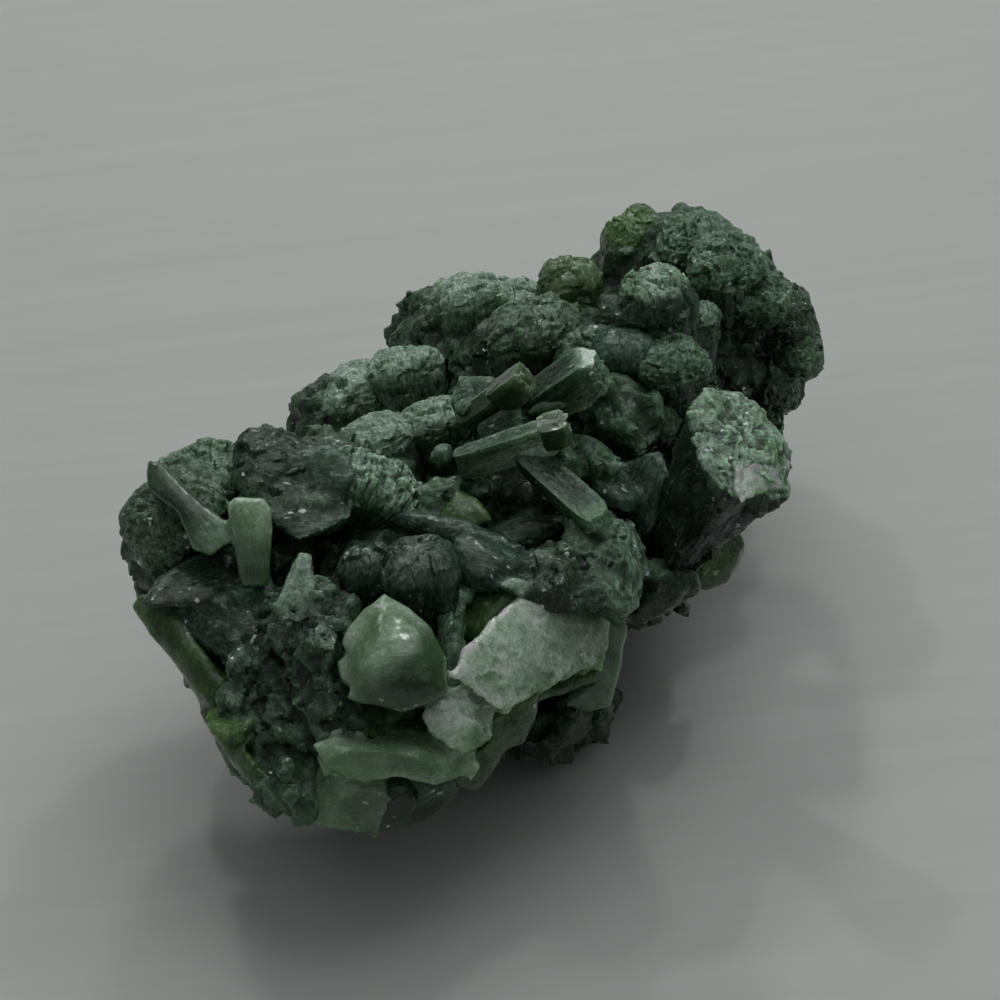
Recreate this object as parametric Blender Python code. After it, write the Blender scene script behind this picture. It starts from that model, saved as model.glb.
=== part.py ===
"""Rough prehnite: crystal fans, blades and blocks grown into one cluster, resting on its underside."""

import math
import random

import bmesh
import bpy
from mathutils import Matrix, Vector, noise

NAME = "prehnite_cluster"
MM = 0.001

# The crystals' places are read from one low side view: steps across and down a square of
# VIEW_SQUARE steps, and millimetres behind the plane through the middle of the front half.
VIEW_ELEVATION = math.radians(35.0)
VIEW_ROLL = math.radians(6.9)
VIEW_DISTANCE = 300.0
VIEW_SQUARE = 1000.0
VIEW_STEP = 0.08
VIEW_TARGET = Vector((0.0, 17.8, 25.4))

# The middle of the cluster's footprint, in the frame of VIEW_TARGET
FOOTPRINT_MIDDLE = Vector((-1.2, 29.3, 0.0))

AHEAD = Vector((0.0, math.cos(VIEW_ELEVATION), -math.sin(VIEW_ELEVATION)))
LEVEL = Vector((1.0, 0.0, 0.0))
UPWARD = Vector((0.0, math.sin(VIEW_ELEVATION), math.cos(VIEW_ELEVATION)))
ACROSS = math.cos(VIEW_ROLL) * LEVEL - math.sin(VIEW_ROLL) * UPWARD
ABOVE = math.sin(VIEW_ROLL) * LEVEL + math.cos(VIEW_ROLL) * UPWARD

BASE_CUT_DEPTH = 40.0
FAN_SIDES = 8
FAN_CORNER = 3.0
FAN_DOME = 0.10
HIDDEN_SEED = 11
HIDDEN_TRIES = 6
HIDDEN_FACING = 0.3

# Slabs: name, outline in the view, depth of its middle, lean across and down (mm in 100 steps), thickness
SLABS = [
    ("flared_wedge", [(152, 466), (165, 468), (202, 503), (228, 522), (232, 542), (210, 554),
                      (192, 545), (178, 512), (150, 496)], -3, (-1, -4), 5),
    ("pale_column", [(227, 512), (240, 500), (258, 501), (268, 512), (272, 530), (270, 580),
                     (241, 580), (233, 548)], -4, (0, -2), 5),
    ("column_foot", [(240, 576), (268, 578), (280, 606), (280, 628), (258, 632), (241, 612)], -5, (0, -3), 5),
    ("striated_wedge", [(146, 603), (163, 577), (190, 561), (232, 548), (242, 575), (242, 602),
                        (200, 606), (168, 606)], -5, (0, -8), 6),
    ("wedge_face", [(168, 602), (242, 598), (242, 655), (205, 650), (182, 622)], -6, (0, -2), 8),
    ("left_blade", [(140, 613), (148, 602), (166, 603), (190, 628), (215, 665), (234, 682), (238, 698),
                    (216, 711), (205, 705), (187, 677)], -6, (-2, -2), 8),
    ("lower_left_blade", [(203, 716), (210, 705), (224, 713), (242, 742), (266, 772), (292, 802),
                          (262, 787), (238, 768)], -8, (-2, -2), 8),
    ("olive_patch", [(222, 712), (238, 703), (258, 711), (263, 736), (245, 744), (231, 735)], -8.5, (0, -2), 5),
    ("lower_left_block", [(252, 745), (300, 738), (328, 758), (328, 800), (302, 813), (270, 790)], -9, (0, -2), 9),
    ("front_block_a", [(243, 600), (276, 606), (285, 640), (262, 662), (242, 652)], -6, (0, -3), 8),
    ("front_block_b", [(283, 612), (318, 590), (346, 600), (350, 642), (322, 662), (288, 650)], -9, (1, -4), 9),
    ("front_block_c", [(236, 665), (264, 650), (302, 645), (310, 684), (285, 706), (245, 700)], -7, (0, -2), 8),
    ("front_block_d", [(300, 650), (346, 640), (354, 692), (330, 716), (300, 704)], -10, (0, -2), 9),
    ("front_block_e", [(240, 704), (286, 700), (304, 742), (262, 750)], -8, (0, -2), 8),
    ("front_block_f", [(296, 702), (352, 698), (372, 740), (330, 752), (305, 748)], -10, (0, -2), 9),
    ("front_block_g", [(352, 698), (400, 705), (432, 714), (440, 740), (400, 742), (364, 744)], -10, (0, -2), 9),
    ("frosty_blade", [(299, 556), (312, 557), (314, 582), (302, 602), (284, 608), (279, 600),
                      (291, 571)], -6, (2, -8), 3),
    ("near_top", [(240, 447), (252, 434), (264, 432), (302, 446), (306, 500), (268, 504), (240, 502),
                  (235, 480)], 0, (0, -4), 8),
    ("upper_flap", [(302, 458), (324, 451), (341, 453), (351, 470), (345, 486), (333, 497), (312, 498),
                    (299, 487)], -2, (0, -4), 4),
    ("lower_flap", [(266, 516), (300, 502), (335, 501), (347, 511), (346, 519), (320, 531),
                    (298, 539)], -3, (0, -7), 3.5),
    ("flap_shade", [(270, 518), (300, 536), (292, 562), (279, 596), (270, 580)], 0, (0, 0), 6),
    ("spar", [(392, 512), (420, 514), (456, 520), (500, 534), (520, 548), (470, 547), (430, 539),
              (408, 530), (394, 522)], -2, (0, -3), 5),
    ("blue_body", [(457, 542), (476, 537), (506, 552), (522, 560), (528, 575), (506, 591), (470, 590),
                   (459, 577)], -6, (0, -4), 8),
    ("cleft_blade", [(458, 590), (516, 592), (502, 620), (482, 642), (458, 642)], -6, (0, -1), 6),
    ("grey_spine", [(440, 612), (454, 590), (466, 600), (463, 640), (472, 656), (456, 694),
                    (438, 692)], -9, (0, -1), 6),
    ("mint_cap", [(383, 601), (404, 613), (425, 630), (438, 660), (440, 690), (402, 706), (366, 699),
                  (348, 684), (343, 658), (350, 633), (362, 620)], -15, (1, -3), 11),
    ("mint_slab", [(520, 604), (556, 612), (602, 613), (598, 650), (583, 667), (530, 692), (505, 706),
                   (480, 690), (460, 672), (470, 652), (500, 620)], -9, (7, -4), 6),
    ("mint_foot", [(424, 716), (444, 690), (470, 688), (490, 706), (488, 735), (462, 748),
                   (438, 736)], -13, (2, -2), 7),
    ("pale_ledge", [(330, 752), (400, 738), (440, 738), (466, 750), (455, 768), (430, 773),
                    (380, 762)], -12, (0, -3), 8),
    ("bottom_mint", [(326, 764), (376, 758), (384, 800), (374, 829), (332, 824), (288, 807),
                     (308, 794)], -11, (-1, 1), 7),
    ("bottom_green", [(374, 760), (406, 760), (422, 800), (400, 824), (370, 829), (378, 800)], -11, (0, 2), 7),
    ("bottom_blue", [(408, 770), (452, 780), (456, 790), (450, 803), (430, 817), (402, 824),
                     (416, 800)], -11, (1, 2), 7),
    ("front_corner", [(440, 768), (464, 754), (496, 744), (502, 752), (490, 771), (476, 788),
                      (455, 784)], -10, (3, 2), 7),
    ("green_rim_low", [(500, 706), (536, 694), (532, 720), (520, 741), (500, 746), (489, 738),
                       (488, 720)], -9, (4, 0), 7),
    ("green_rim_high", [(514, 700), (560, 676), (598, 666), (592, 684), (570, 691), (545, 698)], -4, (5, -2), 6),
    ("dark_under", [(528, 746), (540, 712), (566, 690), (600, 702), (600, 716), (575, 742),
                    (545, 750)], 6, (5, -2), 10),
    ("rim_crystal", [(596, 610), (622, 608), (624, 640), (618, 672), (609, 702), (590, 706), (568, 701),
                     (576, 682), (598, 664)], -1, (-1, -1), 5),
    ("knob_left", [(523, 595), (532, 560), (545, 548), (576, 543), (584, 575), (577, 606),
                   (545, 611)], -6, (3, -4), 9),
    ("knob_right", [(572, 520), (600, 514), (626, 530), (641, 558), (634, 600), (618, 614), (590, 611),
                    (576, 590)], -3, (4, -4), 9),
    ("rough_chip", [(620, 543), (634, 541), (644, 549), (643, 562), (627, 561)], 0, (2, -2), 3),
    ("diagonal_plate", [(517, 455), (529, 444), (543, 446), (562, 470), (600, 498), (622, 520), (604, 532),
                        (574, 522)], -2, (-2, -3), 3.5),
    ("step_block_a", [(548, 446), (568, 442), (580, 460), (586, 476), (571, 480), (559, 463)], 1, (0, -3), 6),
    ("step_block_b", [(568, 438), (590, 443), (606, 455), (618, 462), (612, 482), (594, 477),
                      (579, 455)], 3, (0, -3), 7),
    ("step_block_c", [(588, 480), (620, 474), (642, 500), (628, 512), (602, 502)], 3, (0, -3), 7),
    ("finger_blade", [(456, 450), (476, 443), (520, 430), (530, 419), (562, 416), (570, 425), (568, 441),
                      (545, 447), (514, 458), (468, 477), (457, 475)], 0, (0, -2), 4.5),
    ("top_chunk", [(543, 398), (547, 375), (560, 355), (582, 346), (595, 350), (600, 368), (606, 376),
                   (598, 391), (570, 398)], 2, (1, -3), 6),
    ("chunk_underside", [(528, 414), (543, 396), (598, 390), (574, 410), (548, 416)], 4, (0, 2), 6),
    ("small_knob", [(497, 381), (508, 370), (521, 373), (531, 382), (527, 396), (510, 410), (496, 400)], 3, (0, -3), 5),
    ("knob_stem", [(496, 384), (512, 408), (482, 428), (462, 420)], 5, (0, -2), 5),
    ("pale_blob", [(454, 401), (464, 381), (495, 379), (499, 396), (480, 416), (459, 413)], 7, (0, -4), 5),
    ("triangle_plate", [(481, 442), (495, 407), (531, 422), (506, 436)], 3, (0, -3), 5),
    ("olive_block", [(443, 516), (458, 493), (475, 500), (488, 519), (470, 529), (447, 525)], -1, (0, -3), 4.5),
    ("side_block_a", [(417, 490), (434, 478), (457, 480), (461, 500), (445, 516), (421, 509)], 1, (0, -3), 5),
    ("cavity_wall", [(484, 496), (504, 464), (515, 456), (540, 470), (556, 506), (520, 521),
                     (494, 517)], 6, (1, 3), 5),
    ("blue_ridge", [(486, 531), (520, 516), (562, 517), (556, 532), (530, 547), (500, 543)], 1, (0, -3), 6),
    ("right_wedge", [(620, 470), (660, 455), (669, 490), (665, 502), (655, 521), (640, 541), (631, 530),
                     (619, 500)], 4, (-3, 0), 6),
    ("green_crystal", [(697, 582), (701, 546), (722, 520), (737, 529), (743, 548), (733, 570), (727, 580),
                       (704, 588)], 9, (0, -1), 5),
    ("lower_right_block", [(624, 600), (640, 572), (681, 576), (684, 590), (676, 604), (650, 619),
                           (627, 618)], 5, (0, -2), 9),
    ("frosty_rim", [(641, 573), (649, 558), (668, 556), (664, 572)], 3, (0, -1), 3),
    ("smooth_facet", [(737, 470), (762, 460), (787, 464), (777, 486), (742, 499), (736, 489)], -8, (4, -6), 3),
    ("dark_lump_a", [(596, 385), (622, 378), (652, 392), (656, 420), (630, 440), (600, 425)], 8, (0, -3), 9),
]

# Fans: name, foot and tip (across, down, depth), width, thickness at the foot, spread and turn in degrees
FANS = [
    ("left_dome", (214, 566, 3), (152, 496, 0), 10, 2, 112, 8),
    ("dome_top", (215, 520, 4), (202, 448, 3), 8, 3, 60, 0),
    ("crinkled_fan", (345, 535, 4), (384, 468, 0), 7, 3, 70, 15),
    ("barrel", (421, 650, -5), (420, 545, -10), 8, 3, 26, 0),
    ("barrel_neighbour", (370, 640, -4), (361, 553, -7), 8, 2, 22, 0),
    ("big_right_fan", (652, 588, 9), (743, 438, -7), 7.6, 3.7, 22, -50),
    ("back_centre_fan", (540, 430, 20), (538, 304, 15), 10, 3, 40, 0),
    ("back_centre_fan_b", (590, 420, 18), (590, 345, 12), 9, 4, 30, 0),
    ("pale_green_lump", (575, 350, 27), (572, 264, 23), 8, 4, 30, 40),
    ("lobe_tall", (485, 390, 32), (468, 280, 30), 8, 4, 28, 20),
    ("lobe_tall_b", (520, 380, 34), (510, 282, 30), 9, 4, 40, 60),
    ("lobe_a", (365, 480, 34), (314, 405, 33), 9, 3, 60, 20),
    ("lobe_b", (385, 460, 30), (360, 370, 27), 9, 3, 45, 40),
    ("lobe_c", (420, 440, 26), (404, 350, 25), 9, 3, 40, 10),
    ("lobe_d", (400, 500, 16), (372, 428, 14), 8, 3, 50, 30),
    ("lobe_e", (450, 470, 16), (436, 405, 14), 8, 3, 50, 60),
    ("back_top_fan", (660, 300, 36), (642, 214, 30), 8, 4, 40, 20),
    ("back_top_fan_b", (690, 300, 32), (688, 220, 28), 8, 4, 40, 50),
    ("pale_capped_fan", (668, 410, 14), (661, 254, 13), 7, 3, 24, 90),
    ("capped_side", (680, 400, 17), (690, 300, 15), 8, 3, 30, 30),
    ("right_lump_a", (728, 330, 24), (726, 240, 19), 8, 3, 40, 30),
    ("right_lump_b", (738, 340, 24), (755, 276, 20), 8, 3, 40, 80),
    ("right_lump_c", (742, 350, 24), (796, 310, 22), 8, 3, 44, 20),
    ("right_lump_d", (745, 360, 25), (814, 344, 22), 8, 3, 40, 60),
    ("right_lump_e", (735, 380, 26), (790, 384, 24), 7, 3, 44, 0),
    ("right_lump_f", (705, 430, 28), (772, 422, 25), 6, 3, 40, 40),
    ("dark_stem", (690, 470, 16), (712, 400, 12), 8, 4, 30, 40),
    ("middle_lump", (640, 450, 16), (640, 392, 10), 8, 4, 40, 50),
]

# Lumps under the crystals: middle (across, down, depth), half sizes across, up and ahead in the view,
# and whether hidden fans stand out of it
LUMPS = [
    ((465, 590, 15), (11, 9, 10), False),
    ((212, 560, 10), (7, 7, 8), True),
    ((245, 650, 6), (5, 6, 7), True),
    ((330, 690, 3), (9, 9, 9), True),
    ((430, 690, 6), (7, 7, 8), True),
    ((560, 500, 16), (10, 7, 10), False),
    ((320, 500, 12), (9, 6, 8), True),
    ((400, 590, 7), (9, 7, 9), False),
    ((580, 600, 8), (3.5, 7, 7), False),
    ((655, 530, 16), (5.5, 6, 8), False),
    ((385, 450, 31), (9, 8, 8), True),
    ((475, 370, 34), (9, 8, 8), True),
    ((580, 390, 27), (12, 9, 10), True),
    ((725, 340, 29), (8, 8, 8), True),
    ((668, 285, 34), (7, 7, 8), True),
]

# Ground masses that the cluster rests on: middle and half sizes, in the frame of VIEW_TARGET
GROUND = [
    ((-3.0, 23.0, 6.0), (9.0, 9.0, 8.5)),
    ((2.0, 41.0, 8.0), (14.0, 11.0, 11.0)),
    ((-10.0, 36.0, 6.0), (8.0, 11.0, 9.0)),
]


def clear_scene():
    for thing in list(bpy.data.objects):
        bpy.data.objects.remove(thing, do_unlink=True)


def collection(name):
    made = bpy.data.collections.new(name)
    bpy.context.scene.collection.children.link(made)
    return made


def on_stone(point):
    """A point in the frame of VIEW_TARGET, in millimetres, as metres about the footprint's middle."""
    return (Vector(point) - FOOTPRINT_MIDDLE) * MM


def sighted(across, down, depth):
    """The point seen at this place of the view, this far behind its plane."""
    reach = VIEW_STEP * (1.0 + depth / VIEW_DISTANCE)
    side = (across - VIEW_SQUARE / 2) * reach
    rise = (VIEW_SQUARE / 2 - down) * reach
    return on_stone(VIEW_TARGET + AHEAD * depth + ACROSS * side + ABOVE * rise)


def ring_shell(rings, bulge=Vector()):
    """A closed body lofted through rings of equally many points; the first end's middle is moved by bulge."""
    shell = bmesh.new()
    rows = [[shell.verts.new(point) for point in ring] for ring in rings]
    sides = len(rings[0])
    for lower, upper in zip(rows, rows[1:]):
        for i in range(sides):
            j = (i + 1) % sides
            shell.faces.new((lower[i], lower[j], upper[j], upper[i]))
    for row, rise in ((rows[0], bulge), (rows[-1], Vector())):
        middle = shell.verts.new(sum((v.co for v in row), Vector()) / sides + rise)
        for i in range(sides):
            shell.faces.new((row[i], row[(i + 1) % sides], middle))
    bmesh.ops.triangulate(shell, faces=shell.faces[:])
    bmesh.ops.recalc_face_normals(shell, faces=shell.faces[:])
    return shell


def slab_shell(outline, depth, lean, thick):
    """A flat-faced block: its widest outline, a smaller face before it and a smaller back behind it."""
    middle_x = sum(x for x, _ in outline) / len(outline)
    middle_y = sum(y for _, y in outline) / len(outline)

    def ring(shrink, shift):
        points = []
        for x, y in outline:
            across = middle_x + (x - middle_x) * shrink
            down = middle_y + (y - middle_y) * shrink
            slope = lean[0] * (x - middle_x) / 100 + lean[1] * (y - middle_y) / 100
            points.append(sighted(across, down, depth + slope + shift))
        return points

    rings = [ring(0.80, -0.14 * thick), ring(1.0, 0.08 * thick), ring(0.82, thick)]
    return ring_shell(rings, AHEAD * (-0.10 * thick * MM))


def fan_axes(foot, tip, turn):
    """Unit axes of a fan: outward, across its plates, and through their stack."""
    outward = (tip - foot).normalized()
    toward_viewer = -AHEAD
    across = (toward_viewer - outward * toward_viewer.dot(outward)).normalized()
    across = Matrix.Rotation(math.radians(turn), 3, outward) @ across
    return outward, across, outward.cross(across)


def rounded(value, corner):
    return math.copysign(abs(value) ** (2.0 / corner), value)


def plate_outline(length, width, waist, sides):
    """Points (along, across) round one plate, narrower at its foot."""
    points = []
    for i in range(sides):
        angle = (i + 0.5) * 2 * math.pi / sides
        along = 0.5 + 0.5 * rounded(math.cos(angle), FAN_CORNER)
        across = 0.5 * rounded(math.sin(angle), FAN_CORNER)
        points.append((length * along, width * across * (waist + (1 - waist) * along)))
    return points


def fan_shell(foot, tip, width, thick, spread, turn, waist=0.45, plates=3, sides=FAN_SIDES):
    """Plates stacked at the foot and spread at the tip, the outer ones shorter."""
    outward, across, through = fan_axes(foot, tip, turn)
    length = (tip - foot).length
    rings = []
    for plate in range(plates):
        ragged = noise.random() * 0.08
        for edge in (0.0, 1.0):
            place = (plate + edge) / plates - 0.5
            at_edge = place + (0.012 if edge == 0.0 else -0.012)
            angle = math.radians(spread) * at_edge
            reach = length * (1 - FAN_DOME * (2 * place) ** 2 - ragged)
            ray = outward * math.cos(angle) + through * math.sin(angle)
            start = foot + through * (thick * MM * at_edge)
            outline = plate_outline(reach, width * MM, waist, sides)
            rings.append([start + ray * along + across * side for along, side in outline])
    return ring_shell(rings)


def lump_shell(middle, half_sizes, axes, seed):
    """A rounded lump with dents, under the crystals; its half sizes lie along three axes."""
    shell = bmesh.new()
    bmesh.ops.create_icosphere(shell, subdivisions=1, radius=1.0)
    for vert in shell.verts:
        dent = 1.0 + 0.16 * noise.noise(vert.co * 1.7 + Vector((seed, 0, 0)))
        sized = Vector(a * b for a, b in zip(vert.co * dent, half_sizes)) * MM
        vert.co = middle + axes @ sized
    return shell


def lump_places():
    """Middle, half sizes, axes and crust of every lump and ground mass."""
    view_axes = Matrix((ACROSS, ABOVE, -AHEAD)).transposed()
    for middle, half_sizes, crust in LUMPS:
        yield sighted(*middle), half_sizes, view_axes, crust
    for middle, half_sizes in GROUND:
        yield on_stone(middle), half_sizes, Matrix.Identity(3), True


def even_directions(count):
    """Directions spread evenly over a ball, by the golden angle."""
    golden = math.pi * (3 - math.sqrt(5))
    for i in range(count):
        z = 1 - 2 * (i + 0.5) / count
        ring = math.sqrt(1 - z * z)
        yield Vector((ring * math.cos(golden * i), ring * math.sin(golden * i), z))


def hidden_fans():
    """Fans on the sides that the view doesn't reach, standing out of the lumps."""
    chance = random.Random(HIDDEN_SEED)
    for middle, half_sizes, axes, crust in lump_places():
        for direction in even_directions(HIDDEN_TRIES if crust else 0):
            jitter = Vector((chance.uniform(-0.2, 0.2), chance.uniform(-0.2, 0.2), chance.uniform(-0.2, 0.2)))
            outward = (direction + jitter).normalized()
            turn = chance.uniform(0, 180)
            size = chance.uniform(0.8, 1.15)
            if outward.dot(AHEAD) < HIDDEN_FACING or outward.z < -0.8:
                continue
            reach = axes @ Vector(a * b for a, b in zip(axes.transposed() @ outward, half_sizes)) * MM
            yield middle + reach * 0.35, middle + reach * 1.18, 9 * size, 3, 44, turn


def shell_object(shell, name, where, material):
    mesh = bpy.data.meshes.new(name)
    shell.to_mesh(mesh)
    shell.free()
    mesh.materials.append(material)
    made = bpy.data.objects.new(name, mesh)
    where.objects.link(made)
    return made


def as_cutter(thing):
    thing.hide_render = True
    thing.display_type = "WIRE"


def table_cutter(where, material):
    """A block below the resting plane, as wide as the whole cluster."""
    shell = bmesh.new()
    bmesh.ops.create_cube(shell, size=1.0)
    size = Vector((200.0, 200.0, BASE_CUT_DEPTH)) * MM
    for vert in shell.verts:
        vert.co = Vector(a * b for a, b in zip(vert.co, size)) - Vector((0, 0, size.z / 2))
    return shell_object(shell, "below_table", where, material)


def prehnite():
    """Pale grey-green stone with a waxy shine."""
    material = bpy.data.materials.new("prehnite")
    material.use_nodes = True
    shader = material.node_tree.nodes["Principled BSDF"]
    shader.inputs["Base Color"].default_value = (0.20, 0.27, 0.22, 1.0)
    shader.inputs["Roughness"].default_value = 0.45
    shader.inputs["Metallic"].default_value = 0.0
    return material


def boolean(thing, operation, operand, group=False):
    cut = thing.modifiers.new(operation.lower(), "BOOLEAN")
    cut.operation = operation
    cut.solver = "EXACT"
    if group:
        cut.operand_type = "COLLECTION"
        cut.collection = operand
    else:
        cut.object = operand


def applied(thing):
    """The object's mesh with its modifiers applied."""
    bpy.context.view_layer.update()
    evaluated = thing.evaluated_get(bpy.context.evaluated_depsgraph_get())
    return bpy.data.meshes.new_from_object(evaluated)


def islands(shell):
    """The shell's separate skins, as lists of faces."""
    left = set(shell.faces)
    found = []
    while left:
        first = left.pop()
        island = [first]
        edge_of = [first]
        while edge_of:
            face = edge_of.pop()
            for edge in face.edges:
                for other in edge.link_faces:
                    if other in left:
                        left.remove(other)
                        island.append(other)
                        edge_of.append(other)
        found.append(island)
    return found


def keep_outer_skin(mesh):
    """Removes closed pockets inside the stone and loose chips."""
    shell = bmesh.new()
    shell.from_mesh(mesh)
    skins = sorted(islands(shell), key=len)
    for skin in skins[:-1]:
        bmesh.ops.delete(shell, geom=skin, context="FACES")
    bmesh.ops.triangulate(shell, faces=shell.faces[:])
    shell.to_mesh(mesh)
    shell.free()


def build():
    clear_scene()
    noise.seed_set(3)
    parts = collection(NAME)
    crystals = collection("crystals")
    cutters = collection("cutters")
    stone = prehnite()

    for name, outline, depth, lean, thick in SLABS:
        shell_object(slab_shell(outline, depth, lean, thick), name, crystals, stone)
    for name, foot, tip, width, thick, spread, turn in FANS:
        shell = fan_shell(sighted(*foot), sighted(*tip), width, thick, spread, turn)
        shell_object(shell, name, crystals, stone)
    for i, fan in enumerate(hidden_fans()):
        shell_object(fan_shell(*fan, plates=2, sides=6), f"hidden_fan_{i}", crystals, stone)
    lumps = [lump_shell(*place[:3], i) for i, place in enumerate(lump_places())]
    for i, shell in enumerate(lumps[1:]):
        shell_object(shell, f"lump_{i}", crystals, stone)

    rough = shell_object(lumps[0], "rough", cutters, stone)
    boolean(rough, "UNION", crystals, group=True)
    boolean(rough, "DIFFERENCE", table_cutter(cutters, stone))
    mesh = applied(rough)
    keep_outer_skin(mesh)
    mesh.name = NAME
    cluster = bpy.data.objects.new(NAME, mesh)
    parts.objects.link(cluster)
    for thing in list(crystals.objects) + list(cutters.objects):
        as_cutter(thing)
    return cluster


build()
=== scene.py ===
"""How the rough prehnite looks: fans, blades and blocks of crystal, on a plain pale floor."""

import math
import random
from collections import namedtuple

import bmesh
import bpy
import numpy as np
from mathutils import Matrix, Vector, kdtree, noise


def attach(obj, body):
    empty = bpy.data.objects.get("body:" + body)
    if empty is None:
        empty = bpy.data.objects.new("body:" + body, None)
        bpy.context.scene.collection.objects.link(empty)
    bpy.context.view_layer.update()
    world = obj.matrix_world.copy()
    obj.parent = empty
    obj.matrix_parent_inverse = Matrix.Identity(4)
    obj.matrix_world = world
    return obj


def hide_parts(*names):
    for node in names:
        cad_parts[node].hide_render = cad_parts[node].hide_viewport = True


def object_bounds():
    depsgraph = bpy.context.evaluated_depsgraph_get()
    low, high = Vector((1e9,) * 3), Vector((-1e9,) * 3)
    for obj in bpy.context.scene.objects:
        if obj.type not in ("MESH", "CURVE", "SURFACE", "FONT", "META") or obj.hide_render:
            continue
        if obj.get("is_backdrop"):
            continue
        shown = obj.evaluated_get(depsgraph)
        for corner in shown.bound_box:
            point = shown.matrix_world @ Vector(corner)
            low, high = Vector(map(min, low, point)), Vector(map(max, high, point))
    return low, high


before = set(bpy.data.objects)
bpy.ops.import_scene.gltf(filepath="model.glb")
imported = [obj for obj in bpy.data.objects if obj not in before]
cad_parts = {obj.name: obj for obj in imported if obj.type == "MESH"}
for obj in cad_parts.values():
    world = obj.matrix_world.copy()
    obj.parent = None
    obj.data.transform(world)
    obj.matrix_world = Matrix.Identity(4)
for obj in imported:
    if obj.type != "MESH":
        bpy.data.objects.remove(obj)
CAD_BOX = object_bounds()

NODE = "prehnite_cluster"
MM = 0.001

# The crystals' places are read from one low side view: steps across and down a square of
# VIEW_SQUARE steps, and millimetres behind the plane through the middle of the front half.
VIEW_ELEVATION = math.radians(35.0)
VIEW_ROLL = math.radians(6.9)
VIEW_DISTANCE = 300.0
VIEW_SQUARE = 1000.0
VIEW_STEP = 0.08
VIEW_TARGET = Vector((0.0, 17.8, 25.4))
FOOTPRINT_MIDDLE = Vector((-1.2, 29.3, 0.0))
LENS = 135.0
SENSOR = LENS * VIEW_SQUARE * VIEW_STEP / VIEW_DISTANCE

AHEAD = Vector((0.0, math.cos(VIEW_ELEVATION), -math.sin(VIEW_ELEVATION)))
LEVEL = Vector((1.0, 0.0, 0.0))
UPWARD = Vector((0.0, math.sin(VIEW_ELEVATION), math.cos(VIEW_ELEVATION)))
ACROSS = math.cos(VIEW_ROLL) * LEVEL - math.sin(VIEW_ROLL) * UPWARD
ABOVE = math.sin(VIEW_ROLL) * LEVEL + math.cos(VIEW_ROLL) * UPWARD

# Fans and bars: roundness of a plate's outline, fall of its edge, gap between plates in millimetres,
# sides of a plate, and what is different in a bar
FAN_CORNER = 3.0
FAN_DOME = 0.10
PLATE_GAP = 0.27
PLATE_SIDES = 64
BAR_PLATE_GAP = 0.5
BAR_SPREAD = 3
BAR_SEED = 60
BAR_FORM = {"Waist": 0.9, "Corner": 5.0, "Dome": 0.06, "Crumple": 0.8, "Pale From": 0.2}

# Fans on the sides that the view doesn't reach: tries round a lump, how far they face away, their plates
HIDDEN_SEED = 11
HIDDEN_TRIES = 6
HIDDEN_FACING = 0.3
HIDDEN_LOOKS = ("grey", "blue", "olive", "grey", "frost", "dark")
HIDDEN_PLATE_GAP = 0.60
HIDDEN_PLATE_SIDES = 28
FAR_SEED = 100

# Slabs, lumps and sheaves: steps of their skins, and sizes of their blocks in millimetres
NOISE_SEED = 7
SKIN_STEP = 0.24
SLAB_GROWTH = 1.14
BLOCK_SIZE = 2.1
LUMP_DETAIL = 5
LUMP_BLOCK_SIZE = 2.6
LUMP_BLOCK_HEIGHT = 0.9
SHEAF_SIDES = 104
SHEAF_ROWS = 30
CAP_ROWS = 26
SHEAF_BLOCK = 1.25
SHEAF_RELIEF = 0.75

# Skin and colour: grid of the fused masses in millimetres, rounds of smoothing, painted highlight on ridges
# and painted shade in clefts
SHARP_ANGLE = math.radians(34)
VOXEL = {"clear": 0.24, "slate": 0.29, "green": 0.30, "ground": 0.42}
FUSE_SMOOTHING = 1
TINT_SMOOTHING = 3
RIDGE_SPREAD = 2
RIDGE_HEIGHT = 0.07
RIDGE_HIGHLIGHT = 1.1
CLEFT_SHADE = 0.85
# Deep green of the painted shade towards a slab's root
ROOT_SHADE_TINT = (0.11, 0.22, 0.08)
SHINE_TINT = (0.92, 1.0, 0.97, 1.0)
CRYSTAL_IOR = 1.63

# Mosaic of a fused mass: height and size of its coarse and of its fine blocks, in millimetres
MOSAIC = ((0.60, 2.3), (0.22, 0.9))

# Crumbs: how many to a square millimetre, size in millimetres, seed; and the slabs that they lie on
CRUMBS = {"clear": (0.16, 1.5, 8), "slate": (0.30, 2.5, 3), "ground": (0.12, 2.2, 5)}
FLAKY = ("pale_ledge", "bottom_mint")
CRUMBLY = ("front_block", "lower_left_block", "flap_shade", "cavity_wall", "dark_under", "dark_lump",
           "lower_right_block", "olive_patch", "wedge_face")
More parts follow.
